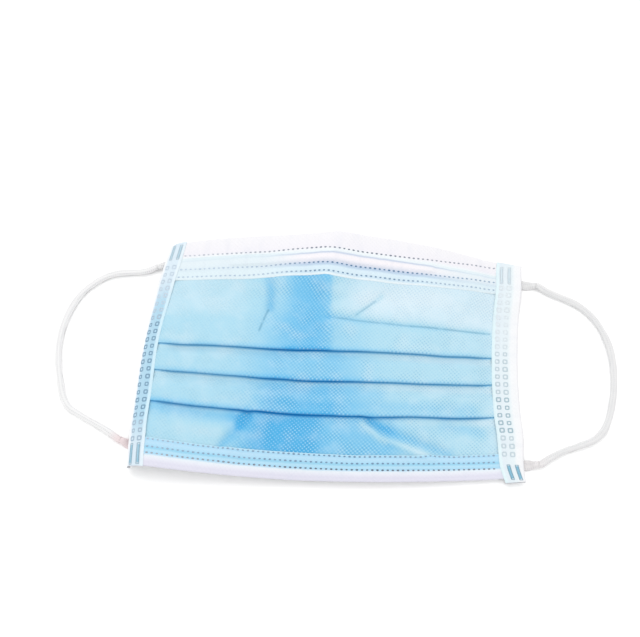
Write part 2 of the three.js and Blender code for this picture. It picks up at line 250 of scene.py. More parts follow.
# Relief tables: share across or down, and share of the rise there
relief = {
    "domeAcross": [(0, 0), (0.06, 0.12), (0.15, 0.42), (0.3, 0.8), (0.5, 1), (0.7, 0.8), (0.86, 0.24),
                   (0.935, 0), (1, 0)],
    "domeDown": [(0, 1), (0.5, 1), (0.75, 0.8), (0.9, 0.45), (1, 0.14)],
    "curlAcross": [(0, 0), (0.004, 0.4), (0.008, 0.51), (0.03, 0.82), (0.055, 0.92), (0.1, 0.8), (0.24, 0.4),
                   (0.42, 0)],
    "curlDown": [(0, 0.69), (0.14, 0.6), (0.5, 0.77), (0.85, 0.72), (1, 0.8)],
    "ridgeAcross": [(0.29, 0), (0.4, 0.45), (0.475, 1), (0.56, 0.46), (0.7, 0)],
    "ridgeDown": [(0, 0.95), (0.16, 1), (0.3, 0.4), (0.45, 0)],
    "liftDown": [(0, 1), (0.17, 1), (0.29, 0), (0.7, 0), (0.84, 1), (1, 1)],
}

# Folds and dents of the lying cloth, in millimetres: the line that each follows, its half width and rise
wrinkles = [
    {"line": [(-30.4, 31), (-30.2, 26), (-30, 19)], "halfWidth": 2.4, "rise": -1.6},     # dent under the hem
    {"line": [(-30.5, 21), (-33.2, 12.7), (-34.5, 6)], "halfWidth": 1.5, "rise": -0.3},  # its thin tail
    {"line": [(-15, 33), (-10, 8)], "halfWidth": 7.0, "rise": -1.1},                     # hollow beside the ridge
    {"line": [(-5.5, 33), (-3, 15), (-2.5, 6)], "halfWidth": 2.2, "rise": 0.9},          # edge of the ridge
    {"line": [(-4, 15.5), (40, 14.8), (72, 16.5)], "halfWidth": 1.8, "rise": -0.7},      # crease across the cheek
    {"line": [(20.5, 28), (8, 17)], "halfWidth": 2.0, "rise": -0.6},
    {"line": [(12.5, -31), (21, -37), (44, -45)], "halfWidth": 1.7, "rise": 1.0},        # slanted fold, right
    {"line": [(17, -29.5), (30, -36), (54, -43)], "halfWidth": 2.6, "rise": -1.0},
    {"line": [(-37, -30), (-42, -38), (-48, -45)], "halfWidth": 2.3, "rise": -1.2},      # slanted fold, left
    {"line": [(-43, -36), (-70, -34)], "halfWidth": 3.5, "rise": 0.7},
]
# Slow unevenness: wavelengths, phase and rise in millimetres
waves = [
    {"x": 61, "y": 83, "phase": 9, "rise": 0.35}, {"x": 37, "y": -49, "phase": 21, "rise": 0.22},
    {"x": -23, "y": 31, "phase": 4, "rise": 0.14}, {"x": 17, "y": 71, "phase": 13, "rise": 0.08},
]
# Shares of the sheet over which folds and waves fade in from each side, and the flat share under the top hem
calmEdges = {"left": 0.06, "right": 0.08, "bottom": 0.06, "top": 0.12, "topFlat": 0.1}
# How the surface is read: half steps across, as a share, and down, in millimetres, and shares that are searched
probe = {"across": 0.0015, "down": 0.25, "beside": np.linspace(0, 0.3, 241), "whole": np.linspace(0, 1, 201)}

cloth = {"ply": 0.23, "plyGap": 0.03, "pitch": 0.9, "pressedPitch": 0.28, "pressedShare": 0.5}
# Hems and tapes: offsets of their walls from the mid-surface, and how a tape's inner edge thins and settles
strips = {"wall": 0.3, "hemOffset": 0.45, "tapeOffset": 0.82, "feather": 0.2, "settle": (0.26, 0.1), "turns": 8}
tapeReach = strips["tapeOffset"] + strips["wall"] / 2
hemReach = strips["hemOffset"] + strips["wall"] / 2


# The cubic from one value to the next, with a slope at each
def cubic(t, start, startSlope, end, endSlope):
    return ((2 * t**3 - 3 * t**2 + 1) * start + (t**3 - 2 * t**2 + t) * startSlope
            + (3 * t**2 - 2 * t**3) * end + (t**3 - t**2) * endSlope)


# A smooth curve through a table of places and values, without overshoot
def throughTable(table, at):
    xs, ys = (np.array(column, float) for column in zip(*table))
    spans = np.diff(xs)
    slopes = np.diff(ys) / spans
    tangents = np.zeros(len(xs))
    product = slopes[1:] * slopes[:-1]
    rising = product > 0
    tangents[1:-1][rising] = 2 * product[rising] / (slopes[1:] + slopes[:-1])[rising]
    tangents[0], tangents[-1] = slopes[0], slopes[-1]
    at = np.clip(at, xs[0], xs[-1])
    i = np.clip(np.searchsorted(xs, at, side="right") - 1, 0, len(spans) - 1)
    return cubic((at - xs[i]) / spans[i], ys[i], spans[i] * tangents[i], ys[i + 1], spans[i] * tangents[i + 1])


def mix(start, end, share):
    return start + (end - start) * share


def ease(share):
    share = np.clip(share, 0, 1)
    return share * share * (3 - 2 * share)


def bell(distance):
    return np.exp(-(distance**2))


def lineAt(name, across):
    left, right, arch = maskLines[name]
    sway = throughTable(seamSway, across) if name in topSeams else 0
    return form["height"] * (0.5 - mix(left, right, across) + arch * 4 * across * (1 - across)) + sway


def sideAt(side, down):
    top, bottom, bow, skew = sideLines[side]
    curve = 4 * down * (1 - down)
    turnTop, turnBottom = cornerTurn[side]
    overTop, overBottom = cornerTurn["over"]
    turned = turnTop * ease(1 - down / overTop) + turnBottom * ease(1 - (1 - down) / overBottom)
    return form["width"] * (mix(top, bottom, down) + curve * (bow + skew * (1 - 2 * down))) - turned


# The distance to a line of points
def awayFromLine(x, y, line):
    away = np.full(np.broadcast(x, y).shape, 1e3)
    for start, end in zip(np.array(line, float), np.array(line, float)[1:]):
        run = end - start
        nearest = np.clip(((x - start[0]) * run[0] + (y - start[1]) * run[1]) / (run @ run), 0, 1)
        away = np.minimum(away, np.hypot(x - start[0] - nearest * run[0], y - start[1] - nearest * run[1]))
    return away


def wrinkleRise(x, y):
    rise = np.zeros(np.broadcast(x, y).shape)
    for fold in wrinkles:
        rise += fold["rise"] * bell(awayFromLine(x, y, fold["line"]) / fold["halfWidth"])
    for wave in waves:
        rise += wave["rise"] * np.sin(2 * math.pi * ((x + wave["phase"]) / wave["x"] + y / wave["y"]))
    return rise


def surfacePoint(across, y):
    top, bottom = lineAt("topEdge", across), lineAt("bottomEdge", across)
    down = (top - y) / (top - bottom)
    x = mix(sideAt("left", down) + tapeReach, sideAt("right", down) - tapeReach, across)
    rise = (form["domeRise"] * throughTable(relief["domeAcross"], across) * throughTable(relief["domeDown"], down)
            + form["leftCurlRise"] * throughTable(relief["curlAcross"], across)
            * throughTable(relief["curlDown"], down)
            + form["noseRidgeRise"] * throughTable(relief["ridgeAcross"], across)
            * throughTable(relief["ridgeDown"], down))
    inside = (ease(across / calmEdges["left"]) * ease((1 - across) / calmEdges["right"])
              * ease((1 - down) / calmEdges["bottom"]) * ease((down - calmEdges["topFlat"]) / calmEdges["top"]))
    raised = form["cornerLift"] * throughTable(relief["liftDown"], down) + rise + wrinkleRise(x, y) * inside
    return np.stack(np.broadcast_arrays(x, y, tapeReach + np.maximum(raised, form["floorGap"])), axis=-1)


def unit(vectors):
    return vectors / np.linalg.norm(vectors, axis=-1, keepdims=True)


# A place on the surface: its point, its normal, and the directions across the mask and up it
def surfaceFrame(across, y):
    across, y = np.broadcast_arrays(np.asarray(across, float), np.asarray(y, float))
    low, high = np.clip(across - probe["across"], 0, 1), np.clip(across + probe["across"], 0, 1)
    sideways = unit(surfacePoint(high, y) - surfacePoint(low, y))
    along = unit(surfacePoint(across, y + probe["down"]) - surfacePoint(across, y - probe["down"]))
    return {"point": surfacePoint(across, y), "normal": unit(np.cross(sideways, along)),
            "sideways": sideways, "along": along}


def runLength(points):
    return np.concatenate([[0], np.cumsum(np.linalg.norm(np.diff(points, axis=0), axis=-1))])


# Distances over the cloth from row to row, as means over the columns
def meanRun(points):
    return np.concatenate([[0], np.cumsum(np.linalg.norm(np.diff(points, axis=1), axis=-1).mean(axis=0))])


# Texture coordinates in the cloth's own lengths: along one line of points, and by the distances across it
def clothUvs(line, distances):
    return np.stack(np.broadcast_arrays(runLength(line)[:, None], distances[None, :]), axis=-1)


# The share across at which the cloth has run a distance from the fold of one side
def acrossAtDistance(side, distance, y):
    across = probe["beside"] if side == "left" else 1 - probe["beside"]
    lengths = runLength(surfacePoint(across, np.full(across.shape, float(y))))
    return float(np.interp(distance, lengths, across))


# Meshes, from points in millimetres

def meshObject(name, vertices, faces, uvs=None, edges=()):
    mesh = bpy.data.meshes.new(name)
    mesh.from_pydata(((np.asarray(vertices) + frameShift) * mm).tolist(), edges, faces)
    if uvs is not None:
        layer = mesh.uv_layers.new(name="UVMap")
        corners = np.empty(len(mesh.loops), dtype=np.int32)
        mesh.loops.foreach_get("vertex_index", corners)
        layer.data.foreach_set("uv", (np.asarray(uvs)[corners] * mm).ravel())
    mesh.polygons.foreach_set("use_smooth", [True] * len(mesh.polygons))
    mesh.update()
    thing = bpy.data.objects.new(name, mesh)
    bpy.context.scene.collection.objects.link(thing)
    return thing


def writeAttribute(thing, name, values):
    layer = thing.data.attributes.new(name, "FLOAT", "POINT")
    layer.data.foreach_set("value", np.asarray(values, dtype=np.float32).ravel())


def signedVolume(points, faces):
    quads = points[np.array(faces)]
    first = np.einsum("ij,ij->i", quads[:, 0], np.cross(quads[:, 1], quads[:, 2]))
    second = np.einsum("ij,ij->i", quads[:, 0], np.cross(quads[:, 2], quads[:, 3]))
    return float((first + second).sum() / 6)


# A closed wall between two faces, each an array of rows and columns of points
def wallObject(name, front, back, uvs):
    rows, columns = front.shape[:2]
    grid = np.arange(rows * columns).reshape(rows, columns)
    behind = grid + rows * columns
    faces = []
    for face, turn in ((grid, 1), (behind, -1)):
        quads = np.stack([face[:-1, :-1], face[1:, :-1], face[1:, 1:], face[:-1, 1:]], axis=-1).reshape(-1, 4)
        faces += quads[:, ::turn].tolist()
    rim = np.concatenate([grid[:, 0], grid[-1, 1:], grid[-2::-1, -1], grid[0, -2:0:-1]])
    rimBehind = rim + rows * columns
    faces += np.stack([np.roll(rim, -1), rim, rimBehind, np.roll(rimBehind, -1)], axis=-1).tolist()
    points = np.concatenate([front.reshape(-1, 3), back.reshape(-1, 3)])
    thing = meshObject(name, points, faces, np.concatenate([uvs.reshape(-1, 2), uvs.reshape(-1, 2)]))
    sharp = thing.data.attributes.new("sharp_edge", "BOOLEAN", "EDGE")
    onRim = set(rim.tolist()) | set(rimBehind.tolist())
    sharp.data.foreach_set("value", [edge.vertices[0] in onRim and edge.vertices[1] in onRim
                                     for edge in thing.data.edges])
    if signedVolume(points, faces) < 0:
        thing.data.flip_normals()
    return thing


# Elastics

cord = {
    "diameter": 3.0, "sides": 24, "step": 0.5, "pieceGap": 0.3, "groove": 0.16, "grooveWidth": 0.34,
    "twistLength": 46.0, "wider": 1.02, "lower": 0.99, "lowerSway": 0.03, "evenEnd": 4.0, "blushReach": 7.0,
    "uneven": [(0.05, 6.3, 0), (0.03, 2.3, 1)],      # share of the width, millimetres for a radian, phase
}
# Each loop: how pink its lower end is, its tabs' outer ends with their headings in degrees, and its route.
# Places are shares of the mask's width and height from its middle
leftLoop = {
    "blush": 1.0, "topTab": (-0.4875, 0.3721, 22), "bottomTab": (-0.5251, -0.3757, -20),
    "route": [(-0.508, 0.3563), (-0.5342, 0.3448), (-0.5655, 0.3404), (-0.5991, 0.3316), (-0.6344, 0.3051),
              (-0.664, 0.2663), (-0.6874, 0.2205), (-0.7044, 0.1649), (-0.7153, 0.1023), (-0.7198, 0.0388),
              (-0.7187, -0.0247), (-0.7118, -0.0882), (-0.701, -0.1517), (-0.6885, -0.2116),
              (-0.6697, -0.254), (-0.639, -0.2822), (-0.6014, -0.3104), (-0.5632, -0.3413)],
}
rightLoop = {
    "blush": 0.2, "topTab": (0.5262, 0.3677, 176), "bottomTab": (0.5194, -0.3871, 186),
    "route": [(0.5501, 0.351), (0.5797, 0.3289), (0.615, 0.3086), (0.6481, 0.2787), (0.676, 0.2372),
              (0.6982, 0.1834), (0.713, 0.1252), (0.7204, 0.0635), (0.7227, 0), (0.7204, -0.0635),
              (0.7136, -0.127), (0.7039, -0.1852), (0.6891, -0.2381), (0.6629, -0.2787), (0.6241, -0.306),
              (0.5786, -0.3351), (0.5456, -0.3651)],
}


# A centripetal curve through points
def smoothPath(points, step):
    points = np.array(points, float)
    padded = np.concatenate([[2 * points[0] - points[1]], points, [2 * points[-1] - points[-2]]])
    found = []
    for p0, p1, p2, p3 in zip(padded, padded[1:], padded[2:], padded[3:]):
        d0, d1, d2 = (math.sqrt(np.linalg.norm(b - a)) for a, b in ((p0, p1), (p1, p2), (p2, p3)))
        t1 = ((p1 - p0) / d0 - (p2 - p0) / (d0 + d1) + (p2 - p1) / d1) * d1
        t2 = ((p2 - p1) / d1 - (p3 - p1) / (d1 + d2) + (p3 - p2) / d2) * d1
        pieces = max(2, round(np.linalg.norm(p2 - p1) / step))
        for t in np.arange(pieces) / pieces:
            found.append(cubic(t, p1, t1, p2, t2))
    return np.array(found + [points[-1]])


def cordPath(loop):
    height = cord["diameter"] / 2

    def outOf(tab, distance):
        angle = math.radians(tab[2])
        return (tab[0] * form["width"] - distance * math.cos(angle),
                tab[1] * form["height"] - distance * math.sin(angle), height)

    return smoothPath([outOf(loop["topTab"], cord["pieceGap"]), outOf(loop["topTab"], height)]
                      + [(x * form["width"], y * form["height"], height) for x, y in loop["route"]]
                      + [outOf(loop["bottomTab"], height), outOf(loop["bottomTab"], cord["pieceGap"])],
                      cord["step"])


# A closed tube of rings on a path that lies nearly level: half widths, half heights, and a groove
# along its faces that turns with the twist of each ring
def tubeObject(name, path, halfWidths, halfHeights, sides, groove=0.0, twists=None):
    tangents = unit(np.gradient(path, axis=0))
    asides = unit(np.cross([0, 0, 1.0], tangents))
    ups = np.cross(tangents, asides)
    angles = 2 * math.pi * np.arange(sides) / sides
    turned = angles[None, :] - (0 if twists is None else twists[:, None])
    depth = 1 - np.atleast_1d(groove)[:, None] * bell(np.cos(turned) / cord["grooveWidth"])
    across = np.cos(angles)[None, :] * halfWidths[:, None] * depth
    upward = np.sin(angles)[None, :] * halfHeights[:, None] * depth
    rings = path[:, None] + asides[:, None] * across[..., None] + ups[:, None] * upward[..., None]
    uvs = clothUvs(path, angles * cord["diameter"] / 2)
    faces = []
    for ring in range(len(path) - 1):
        here, there = ring * sides, (ring + 1) * sides
        for side in range(sides):
            following = (side + 1) % sides
            faces.append((here + side, here + following, there + following, there + side))
    faces.append(tuple(range(sides))[::-1])
    faces.append(tuple((len(path) - 1) * sides + side for side in range(sides)))
    return meshObject(name, rings.reshape(-1, 3), faces, uvs.reshape(-1, 2))


def makeLoop(name, loop):
    path = cordPath(loop)
    run = runLength(path)
    half = cord["diameter"] / 2
    uneven = sum(share * np.sin(run / reach + phase) for share, reach, phase in cord["uneven"])
    atEnds = ease(np.minimum(run, run[-1] - run) / cord["evenEnd"])
    thing = tubeObject(name, path, half * (cord["wider"] + uneven * atEnds),
                       half * np.minimum(1, cord["lower"] - uneven * cord["lowerSway"]), cord["sides"],
                       cord["groove"] * atEnds, 2 * math.pi * run / cord["twistLength"])
    blush = loop["blush"] * (1 - ease((run[-1] - run) / cord["blushReach"]))
    writeAttribute(thing, "blush", np.repeat(blush, cord["sides"]))
    print(name, "length", round(float(run[-1]), 1), "mm")
    return thing, path


loopLeft, pathLeft = makeLoop("loop_left", leftLoop)
loopRight, pathRight = makeLoop("loop_right", rightLoop)
print("elastics made")

# Pleated sheet

# Columns across, closer together in the share by the left edge, and rows down each panel and each bend
sheetGrid = {"edgeShare": 0.03, "edgeColumns": 16, "openColumns": 190, "topPanel": 34, "panel": 18,
             "bottomPanel": 26, "turns": 6}
stations = np.concatenate([np.linspace(0, sheetGrid["edgeShare"], sheetGrid["edgeColumns"]),
                           np.linspace(sheetGrid["edgeShare"], 1, sheetGrid["openColumns"])[1:]])
pleats = ("pleat1", "pleat2", "pleat3")
# At each pleat: rows on the doubled cloth, under it and behind it, gaps in millimetres between these stretches
# and the bends, the places below the lip with the strength there of the painted shadow that makes the dark line, and
# that shadow on the next panel's first row
pleatRows = {"doubled": 7, "under": 4, "behind": 5, "foldShare": 0.8, "bendGap": 0.3, "lipGap": 0.5,
             "lipShades": [(-0.1, 1.0), (0.25, 0.9)], "panelGap": 0.65, "panelShade": 0.4}


def pressedAt(across):
    lengths = runLength(surfacePoint(across, lineAt("pleat2", across)))
    reach = form["tapeWidth"] - tapeReach
    beyond = np.minimum(lengths, lengths[-1] - lengths) - reach
    return 1 - ease(beyond / form["pressRamp"])


# Rows down the sheet: place, level over the mid-surface, the way that the outer face looks (along, up),
# and how strongly the row takes the painted shadow of the dark line under a lip
def sheetRows(across):
    pressed = pressedAt(across)
    pitch = mix(cloth["pitch"], cloth["pressedPitch"], pressed)
    radius = pitch / 2
    rows = []

    def panel(startY, startShare, endY, endShare, pieces, dark=0.0, up=1.0):
        for step in range(pieces + 1):
            share = mix(startShare, endShare, float(ease(step / pieces)))
            shade = pleatRows["panelShade"] if step == 0 and startShare == -1 and not dark else dark
            rows.append((mix(startY, endY, step / pieces), share * pitch, 0.0, up, shade))

    def bend(y, level, facing):            # facing 1 is a lip, -1 is the hidden fold above it
        for step in range(sheetGrid["turns"] + 1):
            angle = facing * math.pi * (0.5 + step / sheetGrid["turns"])
            along, up = math.cos(angle), math.sin(angle)
            # painted shadow that deepens round the lip towards its underside
            shade = step / sheetGrid["turns"] if facing > 0 else 1.0
            rows.append((y + facing * along * radius, level + facing * up * radius, along, up, shade))

    startY, startShare, pieces = lineAt("sheetTop", across), 0.0, sheetGrid["topPanel"]
    for pleat in pleats:
        lip, gap = lineAt(pleat, across), pleatRows["bendGap"]
        foldTop = lip + form["pleatDepth"]
        edge = lip + radius + cloth["ply"]
        panel(startY, startShare, foldTop + pitch, 1, pieces)
        panel(foldTop + pitch * pleatRows["foldShare"], 1, edge + gap, 1, pleatRows["doubled"])
        bend(edge, radius, 1)
        panel(edge + gap, 0, foldTop - radius - gap, 0, pleatRows["under"], 1.0, -1.0)
        bend(foldTop - radius, -radius, -1)
        panel(foldTop - radius - gap, -1, lip + pleatRows["lipGap"], -1, pleatRows["behind"], 1.0)
        for below, shade in pleatRows["lipShades"]:
            rows.append((lip - below, -pitch, 0.0, 1.0, shade))
        startY, startShare, pieces = lip - pleatRows["panelGap"], -1, sheetGrid["panel"]
    panel(startY, startShare, lineAt("sheetBottom", across), 0, sheetGrid["bottomPanel"])
    return rows, pressed


def sheetMiddle(across):
    rows, pressed = sheetRows(across)
    points, facings, paintedShadows = [], [], []
    for y, level, along, up, dark in rows:
        spot = surfaceFrame(across, y)
        points.append(spot["point"] + spot["normal"] * np.broadcast_to(level, across.shape)[:, None])
        facings.append(spot["along"] * along + spot["normal"] * up)
        paintedShadows.append(np.full(across.shape, dark))
    points = np.stack(points, axis=1)
    thin = mix(1.0, cloth["pressedShare"], pressed)[:, None, None]
    return points, np.stack(facings, axis=1), clothUvs(points[:, 0], meanRun(points)), thin, np.stack(paintedShadows, axis=1)


# Depth of blue by region, partly the cloth's own colour and partly painted shade and painted light of the domed
# cloth, from 0, palest, to 1: places across in millimetres, then the depth
blueDepthAndShade = {
    "topPanel": [(-80, 0.20), (-45, 0.26), (-38, 0.34), (-30, 0.42), (-24, 0.55), (-18, 0.80), (-10, 0.84),
                 (-4, 0.74), (-1.5, 0.36), (6, 0.22), (14, 0.12), (50, 0.08), (80, 0.02)],
    "topPanelLow": [(-80, 0.33), (-42, 0.36), (-34, 0.46), (-26, 0.66), (-18, 0.82), (-9, 0.86), (-3, 0.72),
                    (0, 0.50), (8, 0.44), (20, 0.33), (50, 0.28), (66, 0.24), (80, 0.05)],
    "middle": [(-80, 0.34), (-48, 0.38), (-40, 0.46), (-32, 0.58), (-26, 0.70), (-1, 0.70), (6, 0.60),
               (15, 0.44), (24, 0.36), (50, 0.30), (66, 0.28), (80, 0.05)],
    "bottom": [(-80, 0.36), (-50, 0.34), (-44, 0.50), (-36, 0.86), (-26, 0.98), (-9, 0.95), (0, 0.78),
               (24, 0.70), (33, 0.44), (50, 0.34), (66, 0.26), (80, 0.12)],
}
# Painted shade and painted highlight in streaks beside the folds: positive changes deeper, negative paler
paintedFoldShading = [
    {"line": [(-31.5, 34), (-30.3, 28), (-30, 20)], "halfWidth": 2.2, "change": 0.28},
    {"line": [(-3, 15.5), (40, 14.8), (70, 16.5)], "halfWidth": 1.3, "change": 0.2},
    {"line": [(20.4, 27.9), (9.4, 18.4)], "halfWidth": 1.2, "change": 0.16},
    {"line": [(13.6, -32), (21, -37.5), (42, -44)], "halfWidth": 1.5, "change": -0.34},
    {"line": [(17, -30), (30, -36), (52, -42)], "halfWidth": 2.2, "change": 0.26},
    {"line": [(26, -40), (42, -45)], "halfWidth": 1.6, "change": 0.2},
    {"line": [(-37, -30.5), (-41, -37), (-47, -44)], "halfWidth": 2.3, "change": 0.3},
    {"line": [(-45, -38.5), (-67, -38)], "halfWidth": 3.0, "change": -0.08},
    {"line": [(-80, -27.5), (-60, -30), (-40, -32)], "halfWidth": 3.6, "change": 0.3},
    {"line": [(-30, -25), (0, -25.3), (30, -24), (62, -21.5)], "halfWidth": 3.2, "change": 0.2},
    {"line": [(-28, -19), (20, -18.5)], "halfWidth": 3.5, "change": 0.14},
    {"line": [(50, -29), (66, -31)], "halfWidth": 3.0, "change": 0.2},
    {"line": [(8, 25), (49, 29)], "halfWidth": 5.0, "change": -0.1},
]
# In millimetres: half the sheet's width, and where the tables of the regions meet
tintJoins = {"halfWidth": 86, "topPanel": (12, 9), "lip": 0.8}
# Doubled cloth above each lip looks deeper; below the lip run pale lines of painted light that lift the shade there,
# from a place across onwards
lipTints = {"doubled": 0.22, "reach": 2.6, "edge": 0.2, "paintedPaleLines": [
    {"below": 1.1, "halfWidth": 0.75, "change": 0.07, "from": -100, "over": 1},
    {"below": 2.6, "halfWidth": 1.2, "change": 0.1, "from": 8, "over": 20}]}


def tintAt(x, y):
    across = np.clip(0.5 + x / tintJoins["halfWidth"] / 2, 0, 1)
    tables = {name: throughTable(table, x) for name, table in blueDepthAndShade.items()}
    start, reach = tintJoins["topPanel"]
    tint = mix(tables["topPanelLow"], tables["topPanel"], ease((y - start) / reach))
    for region, pleat in (("middle", "pleat1"), ("bottom", "pleat3")):
        tint = mix(tint, tables[region], ease(0.5 + (lineAt(pleat, across) - y) / tintJoins["lip"]))
    for streak in paintedFoldShading:
        tint = tint + streak["change"] * bell(awayFromLine(x, y, streak["line"]) / streak["halfWidth"])
    for pleat in pleats:
        above = y - lineAt(pleat, across)
        tint = tint + lipTints["doubled"] * ease(1 - above / lipTints["reach"]) * ease(1 + above / lipTints["edge"])
        for line in lipTints["paintedPaleLines"]:
            shown = line["change"] * ease((x - line["from"]) / line["over"])
            tint = tint - shown * bell((above + line["below"]) / line["halfWidth"])
    return np.clip(tint, 0, 1)


def makeSheets():
    points, facings, uvs, thin, paintedShadows = sheetMiddle(stations)
    near, far = cloth["plyGap"], cloth["plyGap"] + cloth["ply"]
    outer = wallObject("outer_sheet", points + facings * far * thin, points + facings * near * thin, uvs)
    inner = wallObject("inner_sheet", points - facings * near * thin, points - facings * far * thin, uvs)
    # the depth of blue, with painted shade and painted light in it
    writeAttribute(outer, "tint", np.tile(tintAt(points[..., 0], points[..., 1]).ravel(), 2))
    # painted shadow of the dark lines under the lips
    writeAttribute(outer, "lipLine", np.tile(paintedShadows.ravel(), 2))
    print("sheet: unfolded length", round(float(uvs[0, -1, 1]), 1), "mm, width", round(float(uvs[-1, 0, 0]), 1))
    return outer, inner


# Hems and tapes: a strip folded over an edge, made from places on the surface between its free edge and the fold

def foldedStrip(name, spots, outwards, offset, bulges):
    outer, inner = [], []

    def add(point, direction, reach, feather=0.0):
        outer.append(point + direction * np.asarray(reach + strips["wall"] / 2 - feather)[..., None])
        inner.append(point + direction * np.asarray(reach - strips["wall"] / 2)[..., None])

    for spot, bulge in zip(spots[:-1], bulges):
        add(spot["point"], spot["normal"], offset + bulge, 0.0 if outer else strips["feather"])
    fold = spots[-1]
    for step in range(strips["turns"] + 1):
        angle = math.pi * (0.5 - step / strips["turns"])
        add(fold["point"], fold["normal"] * math.sin(angle) + outwards * math.cos(angle), offset)
    for spot, bulge in reversed(list(zip(spots[:-1], bulges))):
        add(spot["point"], -spot["normal"], offset + bulge)
    outer, inner = np.stack(outer, axis=1), np.stack(inner, axis=1)
    return wallObject(name, outer, inner, clothUvs(outer[:, 0], meanRun(outer)))


hemShape = {"rows": 36, "inset": 0.003, "wireBulge": 0.65, "wireWidth": 4.4, "wireLength": 100.0,
            "wireCentre": 0.475, "wireShoulder": (1.3, 0.4), "wireTaper": 2.0}


# How far the hem bulges over the wire in it
def wireBulge(across, y):
    beside = np.abs(y - lineAt("wire", across)) / (hemShape["wireWidth"] / 2)
    fromEnd = hemShape["wireLength"] / 2 - np.abs(across - hemShape["wireCentre"]) * form["width"]
    outside, shoulder = hemShape["wireShoulder"]
    return hemShape["wireBulge"] * ease((outside - beside) / shoulder) * ease(fromEnd / hemShape["wireTaper"])


def makeHem(name, freeEdge, foldEdge, sign):
    across = stations[(stations > hemShape["inset"]) & (stations < 1 - hemShape["inset"])]
    foldY = lineAt(foldEdge, across) - sign * hemReach
    spots, bulges = [], []
    for row in range(hemShape["rows"] + 1):
        y = mix(lineAt(freeEdge, across), foldY, row / hemShape["rows"])
        spots.append(surfaceFrame(across, y))
        bulges.append(wireBulge(across, y))
    return foldedStrip(name, spots, sign * spots[-1]["along"], strips["hemOffset"], bulges)


tapeGrid = {"rows": 20, "columns": 120, "bareGap": 0.6}
# Each tape: its width at shares down it, in millimetres, and how far it runs past the upper and lower corner
tapes = {
    "left": {"width": [(0, 12), (1, 12)], "past": (0.0, 0.2)},
    "right": {"width": [(0, 12), (0.72, 12), (0.9, 10.9), (1, 9.2)], "past": (0.0, 2.0)},
}


def tapeEnds(side):
    edge = 0.0 if side == "left" else 1.0
    above, below = tapes[side]["past"]
    return lineAt("topEdge", edge) + above, lineAt("bottomEdge", edge) - below


# The share across of a line on the tape at a distance from its inner edge
def tapeAcross(side, fromInner, ys):
    top, bottom = tapeEnds(side)
    widths = throughTable(tapes[side]["width"], (top - ys) / (top - bottom))
    return np.array([acrossAtDistance(side, width - tapeReach - fromInner, y) for width, y in zip(widths, ys)])


# The bendable strip in the hem's pocket, which follows the cloth
noseWire = {"width": 4.0, "thickness": 0.9, "columns": 80, "rows": 4}


def makeNoseWire():
    share = hemShape["wireLength"] / form["width"]
    across = np.linspace(hemShape["wireCentre"] - share / 2, hemShape["wireCentre"] + share / 2, noseWire["columns"])
    rows = []
    for row in range(noseWire["rows"] + 1):
        y = lineAt("wire", across) + noseWire["width"] * (0.5 - row / noseWire["rows"])
        spot = surfaceFrame(across, y)
        rows.append((spot["point"], spot["normal"] * noseWire["thickness"] / 2))
    points, halves = (np.stack(part, axis=1) for part in zip(*rows))
    uvs = clothUvs(points[:, 0], np.linspace(0, noseWire["width"], noseWire["rows"] + 1))
    return wallObject("nose_wire_strip", points + halves, points - halves, uvs)


def makeTape(name, side):
    edge, sign = (0.0, -1) if side == "left" else (1.0, 1)
    downs = np.linspace(0, 1, tapeGrid["columns"] + 1)
    above, below = tapes[side]["past"]
    inner = tapeAcross(side, 0, mix(*tapeEnds(side), downs))
    spots, bulges = [], []
    for row in range(tapeGrid["rows"] + 1):
        across = mix(inner, edge, row / tapeGrid["rows"])
        y = mix(lineAt("topEdge", across) + above, lineAt("bottomEdge", across) - below, downs)
        spots.append(surfaceFrame(across, y))
        bare = (ease(lineAt("topHemEdge", across) - tapeGrid["bareGap"] - y)      # 1 where no hem lies under it
                * ease(y - lineAt("bottomHemEdge", across) - tapeGrid["bareGap"]))
        bulges.append(-bare * (strips["settle"][row] if row < len(strips["settle"]) else 0.0))
    return foldedStrip(name, spots, sign * spots[-1]["sideways"], strips["tapeOffset"], bulges)


# The flattened cord end: it lies on the surface outside the tape and follows the tape's underside inside it

tab = {"length": 11.0, "flatShare": 0.64, "halfWidth": 2.25, "halfThickness": 0.5, "rings": 26, "sides": 16,
       "lead": 0.27, "clearance": 0.05, "highest": 2.6}


def makeTab(name, loop, place, side):
    spec = loop[place]
    angle = math.radians(spec[2])
    along = np.linspace(-tab["lead"] / tab["length"], 1, tab["rings"])      # starts in the gap to the cord
    xs = spec[0] * form["width"] + along * tab["length"] * math.cos(angle)
    ys = spec[1] * form["height"] + along * tab["length"] * math.sin(angle)
    flat = ease(along / (1 - tab["flatShare"]))
    halfWidths, halfHeights = (mix(cord["diameter"] / 2, tab[key], flat) for key in ("halfWidth", "halfThickness"))
    shares = probe["whole"]
    across = np.array([np.interp(x, surfacePoint(shares, np.full(shares.shape, y))[:, 0], shares)
                       for x, y in zip(xs, ys)])
    spot = surfaceFrame(across, ys)
    under = spot["point"] - spot["normal"] * (tapeReach + tab["halfThickness"] + tab["clearance"])
    path = np.stack([xs, ys, halfHeights], axis=-1)
    inside = across > 0 if side == "left" else across < 1
    path[inside, 2] = np.clip(under[inside, 2], halfHeights[inside], tab["highest"])
    thing = tubeObject(name, path, halfWidths, halfHeights, tab["sides"])
    writeAttribute(thing, "blush", np.full(len(thing.data.vertices), loop["blush"] if place == "bottomTab" else 0.0))
    return thing


